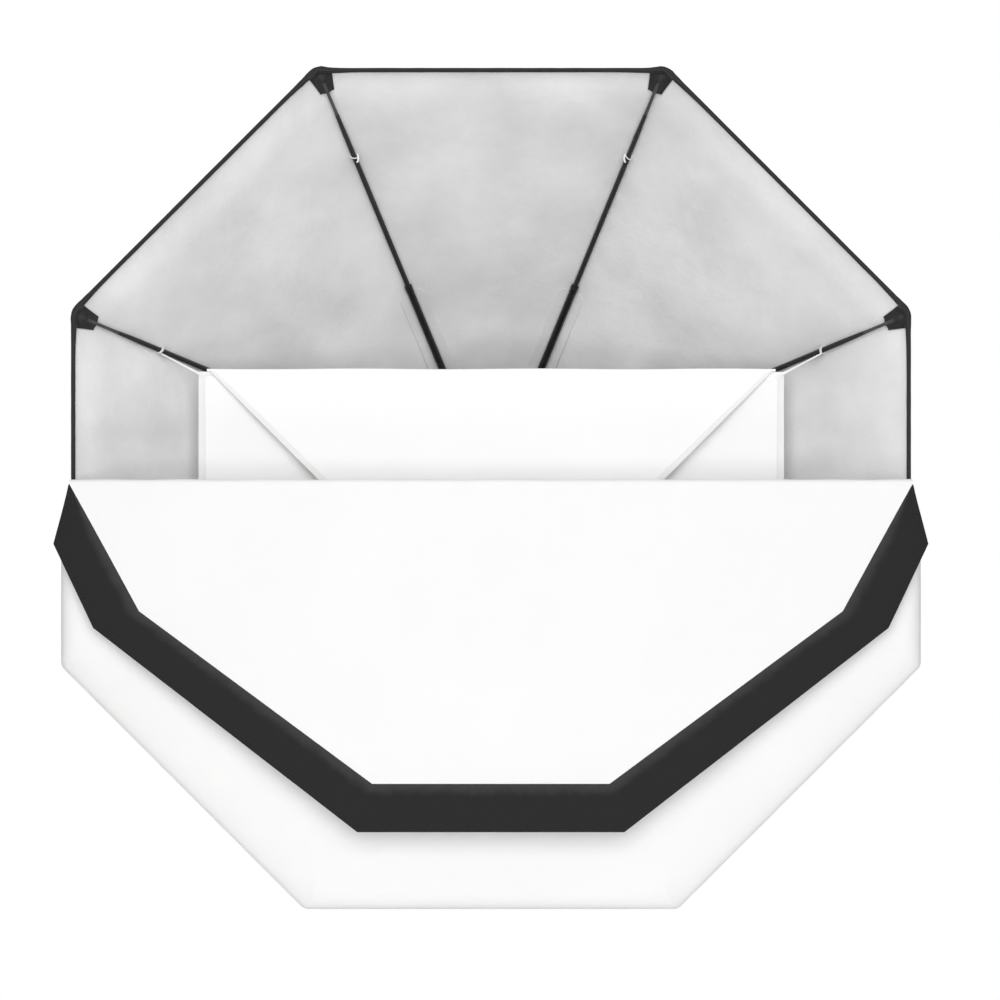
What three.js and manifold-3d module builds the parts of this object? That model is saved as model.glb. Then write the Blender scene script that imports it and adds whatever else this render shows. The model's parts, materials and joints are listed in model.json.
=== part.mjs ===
// Octagonal studio softbox, 904 mm across its flats, with the upper halves of its front
// diffuser and of its inner baffle released and folded down.
// Millimetres, +Z up. Origin: centre of the mount ring's rear seat. +Y leaves the back
// towards the lamp head, the open front faces -Y.

import * as THREE from 'three';
import { mergeVertices } from 'three/addons/utils/BufferGeometryUtils.js';
import Module from 'manifold-3d';

// ---- driving dimensions ---------------------------------------------------------------

const SIDES = 8;
const HALF_STEP = Math.PI / SIDES;
const TO_CORNER = 1 / Math.cos(HALF_STEP);
const GAP = 0.3;

// rod centre line in its radial plane, as radius and depth
const ROD_START = new THREE.Vector2(80, -38);
const ROD_BOW = new THREE.Vector2(311, -154);
const ROD_END = new THREE.Vector2(472, -357);
const ROD_RADIUS = 3;
const TIP_RADIUS = 2;
const TUBE_RADIUS = 4.3;
const TUBE_BORE = 3.5;
const TUBE_FROM = 0.006;
const TUBE_TO = 0.395;
const ROD_FROM = 0.345;
const TIP_FROM = 0.915;
const TIP_TO = 0.998;
const ROD_SIDES = 10;

// inner face of the shell fabric along a corner, as radius and depth
const SKIN_START = new THREE.Vector2(84.3, -29.5);
const SKIN_BOW = new THREE.Vector2(316, -148);
const SKIN_END = new THREE.Vector2(480, -359);
const SKIN_FROM = 0.06;
const SKIN_STEPS = 12;
const FABRIC = 1.5;
const PANEL_EDGE_GAP = 0.2;

// rim
const ACROSS_FLATS = 904;
const BINDING_WIDTH = 6.5;
const BINDING_FRONT = -366;
const BINDING_BACK = -359.6;
const TAPE = 1.2;
const TAPE_FROM = 0.912;
const TAPE_TO = 0.995;

// corner pockets that take the rod tips
const POCKET_WIDTH = 30;
const POCKET_INNER = 458;
const POCKET_BACK = -349;
const POCKET_BORE = 2.5;
const POCKET_BORE_FROM = 0.93;

// fabric collar round the swivel ring
const HEM_APOTHEM = 77.2;
const HEM_BACK = -23;
const HEM_FRONT = -27;

// inner baffle
const BAFFLE_AT = 0.78;
const BAFFLE_APOTHEM = 324;
const BAFFLE_FOLD_Z = 128;
const BAFFLE_CLOTH = 1.2;
const BAFFLE_FLAP_TOP = 312;
const BAFFLE_FLAP_DROP = 160;
const BAFFLE_FLAP_TILT = 6;
const TIE_WIDTH = 8;
const TIE_THICKNESS = 1.4;
const TIE_STANDOFF = 5.2;
const TIE_RELAXED = 18;

// front diffuser, lower half held over the rim
const COVER_APOTHEM = 462;
const COVER_HEIGHT_SCALE = 0.982;
const COVER_FRONT = -379.5;
const BAND_KNEE = -357.5;
const BAND_BACK = -330;
const BAND_BACK_CORNER = 474;

// front diffuser, upper half hanging from the fold: half-outlines as x and z
const FOLD_Y = -382;
const FOLD_Z = 2;
const FLAP_TILT = 5;
const FLAP_SEAM = [[449, 0], [374.7, -135], [125.7, -318]];
const FLAP_EDGE = [[450, 0], [466, -63.5], [422.7, -153], [141.1, -368.6]];
const SEAM_CLEARANCE = 1.0015;
const FLAP_TOP_GAP = 1;
const FLAP_BAND_START = 6;

// ring assembly
const BORE = 46;
const SPIGOT = 49;
const SPIGOT_LENGTH = 11.5;
const LUG_RADIUS = 52.5;
const LUG_LENGTH = 4;
const LUG_HALF_ANGLE = 12;
const LUGS = 3;
const FLANGE_RADIUS = 72;
const FLANGE = 5;
const JOURNAL = 60;
const JOURNAL_BORE = 52;
const RING_BORE = 60.5;
const RING_RADIUS = 76;
const RING_FRONT = -45.5;
const JOURNAL_FRONT = -45.8;
const KEEPER_FRONT = -50;
const KEEPER_RADIUS = 70;
const ROUND = 64;

// sockets in the swivel ring
const SOCKET_RADIUS = 7.5;
const SOCKET_BACK = 7;
const SOCKET_LENGTH = 22;
const SOCKET_BORE = 4.8;
const SOCKET_BORE_BACK = 4;

// keeper screws
const SCREWS = 4;
const SCREW_CIRCLE = 56;
const SCREW_RADIUS = 1.8;
const SCREW_CLEARANCE = 2.2;
const SCREW_HEAD = 3.6;
const SCREW_HEAD_HEIGHT = 2.4;
const SCREW_DEPTH = 14;

// lock screw and its knob, pointing straight down
const LOCK_Y = -13.5;
const LOCK_BOSS = 7.2;
const LOCK_BOSS_END = 84;
const LOCK_SCREW = 3;
const LOCK_SCREW_BORE = 3.4;
const LOCK_SCREW_END = 98;
const KNOB_START = 86;
const KNOB_END = 104;
const KNOB_RADIUS = 14;
const KNOB_FLUTES = 8;
const KNOB_FLUTE_DEPTH = 1.3;
const KNOB_POINTS = 48;
const KNOB_BEVEL = 1.5;

// ---- colours and finishes -------------------------------------------------------------

const finish = (color, roughness, metalness = 0) =>
  new THREE.MeshStandardMaterial({ color, roughness, metalness });

const BLACK_NYLON = finish(0x1c1c1e, 0.8);
const BLACK_TAPE = finish(0x242425, 0.95);
const SHELL = finish(0x3a3a3d, 0.7);
const WHITE_NYLON = finish(0xf3f3f1, 0.75);
const ELASTIC = finish(0xe9e9e6, 0.9);
const FIBREGLASS = finish(0x202022, 0.35);
const CAST_ALLOY = finish(0x2c2d30, 0.55, 0.4);
const BRIGHT_STEEL = finish(0xb9bcc0, 0.35, 0.9);
const KNOB_PLASTIC = finish(0x18181a, 0.5);

// ---- helpers --------------------------------------------------------------------------

const wasm = await Module();
wasm.setup();

function toSolid(geometry) {
  const bare = geometry.clone();
  bare.deleteAttribute('normal');
  bare.deleteAttribute('uv');
  const merged = mergeVertices(bare, 1e-4);
  return new wasm.Manifold(new wasm.Mesh({
    numProp: 3,
    vertProperties: Float32Array.from(merged.attributes.position.array),
    triVerts: Uint32Array.from(merged.index.array),
  }));
}

function toGeometry(solid) {
  const mesh = solid.getMesh();
  const geometry = new THREE.BufferGeometry();
  geometry.setAttribute('position', new THREE.BufferAttribute(mesh.vertProperties, 3));
  geometry.setIndex(new THREE.BufferAttribute(mesh.triVerts, 1));
  geometry.computeVertexNormals();
  return geometry;
}

const degrees = (angle) => THREE.MathUtils.degToRad(angle);

const rodAngle = (index) => HALF_STEP + index * 2 * HALF_STEP;

function addMesh(parent, name, geometry, material, turn = 0) {
  const mesh = new THREE.Mesh(geometry, material);
  mesh.name = name;
  mesh.rotation.y = -turn;
  parent.add(mesh);
}

function addGroup(parent) {
  const group = new THREE.Group();
  parent.add(group);
  return group;
}

// one copy of a piece at each of the eight corners, numbered round from the right-hand side
function addRing(parent, name, geometry, material, angleOf = rodAngle) {
  for (let i = 0; i < SIDES; i += 1) {
    addMesh(parent, `${name}_${i + 1}`, geometry, material, angleOf(i));
  }
}

// closed profile of radius and depth turned about the Y axis
function turned(profile, segments = SIDES) {
  const points = profile.map(([radius, depth]) => new THREE.Vector2(radius, depth));
  points.push(points[0].clone());
  return new THREE.LatheGeometry(points, segments, HALF_STEP);
}

function outline(points) {
  return new THREE.Shape(points.map(([x, z]) => new THREE.Vector2(x, z)));
}

// flat cloth or plate drawn in x and z, its back face at depth y
function plate(shape, y, thickness) {
  const geometry = new THREE.ExtrudeGeometry(shape, { depth: thickness, bevelEnabled: false });
  return geometry.rotateX(Math.PI / 2).translate(0, y, 0);
}

// half-outline of x and z, mirrored into a closed outline
function mirrored(points) {
  const left = points.map(([x, z]) => [-x, z]).reverse();
  return outline([...points, ...left]);
}

function bar(from, to, radius, sides = 24) {
  const along = new THREE.Vector3().subVectors(to, from);
  const geometry = new THREE.CylinderGeometry(radius, radius, along.length(), sides);
  const up = new THREE.Vector3(0, 1, 0);
  geometry.applyQuaternion(new THREE.Quaternion().setFromUnitVectors(up, along.normalize()));
  const middle = new THREE.Vector3().addVectors(from, to).multiplyScalar(0.5);
  return geometry.translate(middle.x, middle.y, middle.z);
}

// everything below the height z, as a block to cut with
function below(z) {
  const size = 2 * ACROSS_FLATS;
  return toSolid(new THREE.BoxGeometry(size, size, size).translate(0, 0, z - size / 2));
}

// ---- rods -----------------------------------------------------------------------------

// two-argument form of the rod's quadratic curve; equal arguments give a point on it
function rodPoint(a, b = a) {
  const point = ROD_START.clone().multiplyScalar((1 - a) * (1 - b));
  point.addScaledVector(ROD_BOW, (1 - a) * b + a * (1 - b));
  point.addScaledVector(ROD_END, a * b);
  return new THREE.Vector3(point.x, point.y, 0);
}

function rodStretch(from, to, radius, steps, bore = 0) {
  const section = new THREE.Shape().absarc(0, 0, radius, 0, 2 * Math.PI);
  if (bore > 0) section.holes.push(new THREE.Path().absarc(0, 0, bore, 0, 2 * Math.PI));
  const path = new THREE.QuadraticBezierCurve3(rodPoint(from), rodPoint(from, to), rodPoint(to));
  return new THREE.ExtrudeGeometry(section, {
    extrudePath: path, steps, curveSegments: ROD_SIDES / 2, bevelEnabled: false,
  });
}

function rod() {
  const overlap = 0.002;
  const shaft = toSolid(rodStretch(ROD_FROM, TIP_FROM, ROD_RADIUS, 8));
  const tip = toSolid(rodStretch(TIP_FROM - overlap, TIP_TO, TIP_RADIUS, 2));
  return toGeometry(shaft.add(tip));
}

function addRods(parent) {
  const rods = addGroup(parent);
  addRing(rods, 'rod', rod(), FIBREGLASS);
  addRing(rods, 'rod_tube', rodStretch(TUBE_FROM, TUBE_TO, TUBE_RADIUS, 7, TUBE_BORE), FIBREGLASS);
}

// ---- fabric shell ---------------------------------------------------------------------

// point of the corner seam, lifted outwards from the fabric's inner face
function skinPoint(t, lift) {
  const first = new THREE.Vector2().subVectors(SKIN_BOW, SKIN_START).multiplyScalar(1 - t);
  const second = new THREE.Vector2().subVectors(SKIN_END, SKIN_BOW).multiplyScalar(t);
  const along = first.add(second).normalize();
  const radius = (1 - t) ** 2 * SKIN_START.x + 2 * t * (1 - t) * SKIN_BOW.x + t ** 2 * SKIN_END.x;
  const depth = (1 - t) ** 2 * SKIN_START.y + 2 * t * (1 - t) * SKIN_BOW.y + t ** 2 * SKIN_END.y;
  return [radius - along.y * lift, depth + along.x * lift];
}

// closed profile of one layer that follows the shell between two lifts
function layer(from, to, inner, outer, steps) {
  const at = (index) => from + ((to - from) * index) / steps;
  const inside = [];
  const outside = [];
  for (let i = 0; i <= steps; i += 1) {
    inside.push(skinPoint(at(i), inner));
    outside.unshift(skinPoint(at(i), outer));
  }
  return [...inside, ...outside];
}

// one eighth of the space round the axis, a little short of its two neighbours
function wedge() {
  const reach = ACROSS_FLATS;
  const apex = PANEL_EDGE_GAP / Math.sin(HALF_STEP);
  const half = (reach - apex) * Math.tan(HALF_STEP);
  return toSolid(plate(outline([[apex, 0], [reach, -half], [reach, half]]), 0, reach));
}

function shellPanel() {
  const shell = toSolid(turned(layer(SKIN_FROM, 1, 0, FABRIC, SKIN_STEPS)));
  return toGeometry(shell.intersect(wedge()));
}

function rearCollar() {
  const hem = HEM_APOTHEM * TO_CORNER;
  const [innerRadius, innerDepth] = skinPoint(SKIN_FROM, 0);
  const [outerRadius, outerDepth] = skinPoint(SKIN_FROM, FABRIC);
  return turned([
    [hem, HEM_BACK], [hem, HEM_FRONT], [innerRadius - GAP, innerDepth + GAP / 2],
    [outerRadius - GAP, outerDepth + GAP / 2], [hem + FABRIC, HEM_FRONT + FABRIC],
    [hem + FABRIC, HEM_BACK],
  ]);
}

function rimBinding() {
  const outer = (ACROSS_FLATS / 2) * TO_CORNER;
  const inner = (ACROSS_FLATS / 2 - BINDING_WIDTH) * TO_CORNER;
  return turned([
    [inner, BINDING_FRONT], [inner, BINDING_BACK], [outer, BINDING_BACK], [outer, BINDING_FRONT],
  ].reverse());
}

// space inside the shell and the binding, turned so that one corner lies on the X axis
function rimInside() {
  const [radius, depth] = skinPoint(0.9, -GAP);
  const bindingInner = (ACROSS_FLATS / 2 - BINDING_WIDTH) * TO_CORNER - GAP;
  return toSolid(turned([
    [0, BINDING_FRONT], [bindingInner - 2 * GAP, BINDING_FRONT],
    [SKIN_END.x - 3 * GAP, SKIN_END.y], [radius, depth], [0, depth],
  ]).rotateY(HALF_STEP));
}

function cornerPocket() {
  const block = new THREE.BoxGeometry(
    ACROSS_FLATS / 2, POCKET_BACK - BINDING_FRONT, POCKET_WIDTH,
  ).translate(POCKET_INNER + ACROSS_FLATS / 4, (POCKET_BACK + BINDING_FRONT) / 2, 0);
  const bore = rodStretch(POCKET_BORE_FROM, 1, POCKET_BORE, 3);
  return toGeometry(toSolid(block).intersect(rimInside()).subtract(toSolid(bore)));
}

function addShell(parent) {
  const shell = addGroup(parent);
  addRing(shell, 'shell_panel', shellPanel(), SHELL, (index) => index * 2 * HALF_STEP);
  addRing(shell, 'corner_pocket', cornerPocket(), BLACK_NYLON);
  addMesh(shell, 'rear_collar', rearCollar(), BLACK_NYLON);
  addMesh(shell, 'rim_binding', rimBinding(), BLACK_NYLON);
  const loop = layer(TAPE_FROM, TAPE_TO, FABRIC + GAP, FABRIC + GAP + TAPE, 2);
  addMesh(shell, 'loop_strip', turned(loop), BLACK_TAPE);
}

// ---- inner baffle ---------------------------------------------------------------------

function baffleLower() {
  const corner = BAFFLE_APOTHEM * Math.tan(HALF_STEP);
  return plate(mirrored([
    [BAFFLE_APOTHEM, BAFFLE_FOLD_Z], [BAFFLE_APOTHEM, -corner], [corner, -BAFFLE_APOTHEM],
  ]), BAFFLE_CLOTH / 2, BAFFLE_CLOTH);
}

function baffleFlap() {
  const bottom = BAFFLE_FLAP_TOP - BAFFLE_FLAP_DROP;
  return plate(mirrored([
    [BAFFLE_FLAP_TOP, -FLAP_TOP_GAP], [bottom, -BAFFLE_FLAP_DROP],
  ]), 0, BAFFLE_CLOTH);
}

// elastic strap along the radius, from the baffle's corner to the rod
function baffleTie(depth) {
  const from = BAFFLE_APOTHEM * TO_CORNER + 2 * GAP;
  const to = rodPoint(BAFFLE_AT).x - TIE_STANDOFF;
  const strap = new THREE.BoxGeometry(to - from, TIE_THICKNESS, TIE_WIDTH);
  return strap.translate((from + to) / 2, depth, 0);
}

// elastic strap hanging straight down from the rod that the folded flap has left
function freeTie(index, depth) {
  const middle = rodPoint(BAFFLE_AT);
  const angle = rodAngle(index);
  const top = middle.x * Math.sin(angle) - TIE_WIDTH;
  const strap = new THREE.BoxGeometry(TIE_WIDTH, TIE_THICKNESS, TIE_RELAXED);
  return strap.translate(middle.x * Math.cos(angle), depth, top - TIE_RELAXED / 2);
}

function addBaffle(parent) {
  const depth = rodPoint(BAFFLE_AT).y;
  const lower = addGroup(parent);
  lower.position.y = depth;
  addMesh(lower, 'baffle_lower', baffleLower(), WHITE_NYLON);
  for (let i = 0; i < SIDES; i += 1) {
    const isFree = i === 1 || i === 2;
    const strap = isFree ? freeTie(i, 0) : baffleTie(0);
    addMesh(lower, `baffle_tie_${i + 1}`, strap, ELASTIC, isFree ? 0 : rodAngle(i));
  }
  const flap = addGroup(parent);
  flap.position.set(0, depth - BAFFLE_CLOTH, BAFFLE_FOLD_Z + FLAP_TOP_GAP);
  flap.rotation.x = -degrees(BAFFLE_FLAP_TILT);
  addMesh(flap, 'baffle_flap', baffleFlap(), WHITE_NYLON);
}

// ---- front diffuser -------------------------------------------------------------------

function coverFace() {
  const corner = COVER_APOTHEM * Math.tan(HALF_STEP);
  const shape = mirrored([
    [COVER_APOTHEM, 0], [COVER_APOTHEM, -corner], [corner, -COVER_APOTHEM],
  ]);
  return plate(shape, COVER_FRONT + FABRIC, FABRIC).scale(1, 1, COVER_HEIGHT_SCALE);
}

function coverBand() {
  const front = COVER_FRONT + FABRIC + GAP;
  const corner = COVER_APOTHEM * TO_CORNER;
  const wall = FABRIC * TO_CORNER;
  const ring = turned([
    [corner, front], [corner, BAND_KNEE], [BAND_BACK_CORNER, BAND_BACK],
    [BAND_BACK_CORNER - wall, BAND_BACK], [corner - wall, BAND_KNEE], [corner - wall, front],
  ]);
  const lower = toSolid(ring.scale(1, 1, COVER_HEIGHT_SCALE)).intersect(below(0));
  return toGeometry(lower);
}

function hookStrip() {
  const lift = FABRIC + GAP + TAPE + GAP;
  const ring = turned(layer(TAPE_FROM, TAPE_TO, lift, lift + TAPE, 2));
  return toGeometry(toSolid(ring).intersect(below(-FLAP_TOP_GAP)));
}

function flapSheet(points, fromZ) {
  return toSolid(plate(mirrored(points), 0, FABRIC)).intersect(below(fromZ));
}

function flapBand() {
  const seam = FLAP_SEAM.map(([x, z]) => [x * SEAM_CLEARANCE, z * SEAM_CLEARANCE]);
  const inside = toSolid(plate(mirrored(seam), GAP, FABRIC + 2 * GAP));
  const opening = inside.add(toSolid(plate(mirrored([[FLAP_SEAM[0][0], FLAP_BAND_START],
    [FLAP_SEAM[0][0], 0]]), GAP, FABRIC + 2 * GAP)));
  return toGeometry(flapSheet(FLAP_EDGE, -FLAP_BAND_START).subtract(opening));
}

function addDiffuser(parent) {
  const lower = addGroup(parent);
  addMesh(lower, 'front_cover', coverFace(), WHITE_NYLON);
  addMesh(lower, 'cover_band', coverBand(), WHITE_NYLON);
  addMesh(lower, 'hook_strip', hookStrip(), BLACK_TAPE);
  const flap = addGroup(parent);
  flap.position.set(0, FOLD_Y, FOLD_Z);
  flap.rotation.x = -degrees(FLAP_TILT);
  addMesh(flap, 'diffuser_flap', toGeometry(flapSheet(FLAP_SEAM, -FLAP_TOP_GAP)), WHITE_NYLON);
  addMesh(flap, 'flap_band', flapBand(), BLACK_TAPE);
}

// ---- ring assembly --------------------------------------------------------------------

function screwLine(from, to, radius) {
  const start = new THREE.Vector3(SCREW_CIRCLE, from, 0);
  return bar(start, new THREE.Vector3(SCREW_CIRCLE, to, 0), radius, 16);
}

const screwAngle = (index) => HALF_STEP * 2 + index * 2 * Math.PI / SCREWS;

function cutScrewHoles(solid, from, to) {
  let cut = solid;
  for (let i = 0; i < SCREWS; i += 1) {
    const hole = screwLine(from, to, SCREW_CLEARANCE).rotateY(-screwAngle(i));
    cut = cut.subtract(toSolid(hole));
  }
  return cut;
}

function lug(index) {
  const middle = Math.PI / 2 + index * 2 * Math.PI / LUGS;
  const half = degrees(LUG_HALF_ANGLE);
  const shape = new THREE.Shape();
  shape.absarc(0, 0, LUG_RADIUS, middle - half, middle + half, false);
  shape.absarc(0, 0, (BORE + SPIGOT) / 2, middle + half, middle - half, true);
  return toSolid(plate(shape, SPIGOT_LENGTH, LUG_LENGTH));
}

function mountRing() {
  let ring = toSolid(turned([
    [BORE, SPIGOT_LENGTH], [BORE, -FLANGE], [JOURNAL_BORE, -FLANGE], [JOURNAL_BORE, JOURNAL_FRONT],
    [JOURNAL, JOURNAL_FRONT], [JOURNAL, -FLANGE], [FLANGE_RADIUS, -FLANGE], [FLANGE_RADIUS, 0],
    [SPIGOT, 0], [SPIGOT, SPIGOT_LENGTH],
  ], ROUND));
  for (let i = 0; i < LUGS; i += 1) ring = ring.add(lug(i));
  return toGeometry(cutScrewHoles(ring, JOURNAL_FRONT - 1, JOURNAL_FRONT + SCREW_DEPTH));
}

function keeperRing() {
  const ring = toSolid(turned([
    [JOURNAL_BORE, JOURNAL_FRONT - GAP], [JOURNAL_BORE, KEEPER_FRONT],
    [KEEPER_RADIUS, KEEPER_FRONT], [KEEPER_RADIUS, JOURNAL_FRONT - GAP],
  ], ROUND));
  return toGeometry(cutScrewHoles(ring, KEEPER_FRONT - 1, JOURNAL_FRONT + 1));
}

function keeperScrew() {
  const under = KEEPER_FRONT - GAP;
  const shank = screwLine(JOURNAL_FRONT + SCREW_DEPTH - 1, under - 1, SCREW_RADIUS);
  const head = screwLine(under, under - SCREW_HEAD_HEIGHT, SCREW_HEAD);
  return toGeometry(toSolid(shank).add(toSolid(head)));
}

function socketLine(from, to, radius) {
  const along = new THREE.Vector2().subVectors(ROD_BOW, ROD_START).normalize();
  const at = (distance) => new THREE.Vector3(
    ROD_START.x + along.x * distance, ROD_START.y + along.y * distance, 0,
  );
  return bar(at(from), at(to), radius);
}

function lockLine(from, to, radius) {
  return bar(new THREE.Vector3(0, LOCK_Y, -from), new THREE.Vector3(0, LOCK_Y, -to), radius);
}

function swivelRing() {
  const back = -FLANGE - 0.5;
  let ring = toSolid(turned([
    [RING_BORE, back], [RING_BORE, RING_FRONT], [RING_RADIUS, RING_FRONT], [RING_RADIUS, back],
  ], ROUND));
  ring = ring.add(toSolid(lockLine(RING_RADIUS - 3, LOCK_BOSS_END, LOCK_BOSS)));
  const boss = socketLine(-SOCKET_BACK, SOCKET_LENGTH, SOCKET_RADIUS);
  const bore = socketLine(-SOCKET_BORE_BACK, SOCKET_LENGTH + 1, SOCKET_BORE);
  for (let i = 0; i < SIDES; i += 1) {
    ring = ring.add(toSolid(boss.clone().rotateY(-rodAngle(i))));
  }
  for (let i = 0; i < SIDES; i += 1) {
    ring = ring.subtract(toSolid(bore.clone().rotateY(-rodAngle(i))));
  }
  const lockBore = lockLine(RING_BORE - 3, LOCK_BOSS_END + 1, LOCK_SCREW_BORE);
  return toGeometry(ring.subtract(toSolid(lockBore)));
}

function lockKnob() {
  const shape = new THREE.Shape();
  for (let i = 0; i < KNOB_POINTS; i += 1) {
    const angle = (2 * Math.PI * i) / KNOB_POINTS;
    const flute = KNOB_FLUTE_DEPTH * (1 - Math.cos(KNOB_FLUTES * angle)) / 2;
    const radius = KNOB_RADIUS - KNOB_BEVEL - flute;
    const move = i === 0 ? 'moveTo' : 'lineTo';
    shape[move](radius * Math.cos(angle), radius * Math.sin(angle));
  }
  const head = new THREE.ExtrudeGeometry(shape, {
    depth: KNOB_END - KNOB_START - 2 * KNOB_BEVEL, bevelThickness: KNOB_BEVEL,
    bevelSize: KNOB_BEVEL, bevelSegments: 2,
  }).translate(0, LOCK_Y, -KNOB_END + KNOB_BEVEL);
  const socket = lockLine(KNOB_START - 1, LOCK_SCREW_END + GAP, LOCK_SCREW + GAP);
  return toGeometry(toSolid(head).subtract(toSolid(socket)));
}

function addRingAssembly(parent) {
  const fixed = addGroup(parent);
  addMesh(fixed, 'mount_ring', mountRing(), BRIGHT_STEEL);
  addMesh(fixed, 'keeper_ring', keeperRing(), CAST_ALLOY);
  for (let i = 0; i < SCREWS; i += 1) {
    addMesh(fixed, `keeper_screw_${i + 1}`, keeperScrew(), BRIGHT_STEEL, screwAngle(i));
  }
  addMesh(parent, 'swivel_ring', swivelRing(), CAST_ALLOY);
  const lock = addGroup(parent);
  addMesh(lock, 'lock_knob', lockKnob(), KNOB_PLASTIC);
  const screw = lockLine(JOURNAL + GAP, LOCK_SCREW_END, LOCK_SCREW);
  addMesh(lock, 'lock_screw', screw, BRIGHT_STEEL);
}

// ---- assembly -------------------------------------------------------------------------

const softbox = new THREE.Group();
addRingAssembly(softbox);
addRods(softbox);
addShell(softbox);
addBaffle(softbox);
addDiffuser(softbox);

export default softbox;
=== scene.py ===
"""Finished studio softbox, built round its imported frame.

Metres, +Z up. The softbox's axis is Y: its open front faces -Y and the lamp head sits at +Y.
"""

import json
import logging
import math
from dataclasses import dataclass, field
from enum import Enum
from typing import Sequence

import bmesh
import bpy
import numpy as np
from mathutils import Matrix, Vector


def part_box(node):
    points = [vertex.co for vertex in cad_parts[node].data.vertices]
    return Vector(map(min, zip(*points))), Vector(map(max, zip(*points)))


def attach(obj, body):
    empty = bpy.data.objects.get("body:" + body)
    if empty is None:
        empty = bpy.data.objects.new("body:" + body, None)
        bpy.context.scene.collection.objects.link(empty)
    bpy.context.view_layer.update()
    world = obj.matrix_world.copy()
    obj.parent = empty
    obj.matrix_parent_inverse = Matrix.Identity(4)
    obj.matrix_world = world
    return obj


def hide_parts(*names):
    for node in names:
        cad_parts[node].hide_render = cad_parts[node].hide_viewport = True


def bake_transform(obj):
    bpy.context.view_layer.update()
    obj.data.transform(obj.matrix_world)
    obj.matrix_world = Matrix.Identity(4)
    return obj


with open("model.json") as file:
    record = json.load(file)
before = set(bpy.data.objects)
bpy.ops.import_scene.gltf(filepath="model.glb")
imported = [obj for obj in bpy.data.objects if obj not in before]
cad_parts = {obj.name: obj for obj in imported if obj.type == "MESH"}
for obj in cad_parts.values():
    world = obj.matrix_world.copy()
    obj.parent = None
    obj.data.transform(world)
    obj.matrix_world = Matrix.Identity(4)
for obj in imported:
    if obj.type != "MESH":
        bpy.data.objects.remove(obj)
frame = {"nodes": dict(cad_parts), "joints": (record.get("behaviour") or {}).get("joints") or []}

log = logging.getLogger("softbox")

SIDES = 8
HALF_STEP = math.pi / SIDES
TO_CORNER = 1.0 / math.cos(HALF_STEP)
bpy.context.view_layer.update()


class Body(str, Enum):
    """Rigid bodies of the frame that pieces ride on."""

    MOUNT = "mount"
    BOX = "box"
    LOCK = "lock"
    INNER_FLAP = "inner_flap"
    FRONT_FLAP = "front_flap"
    FLAP_HEM = "flap_hem"


# ---- finishes -----------------------------------------------------------------------------


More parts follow.
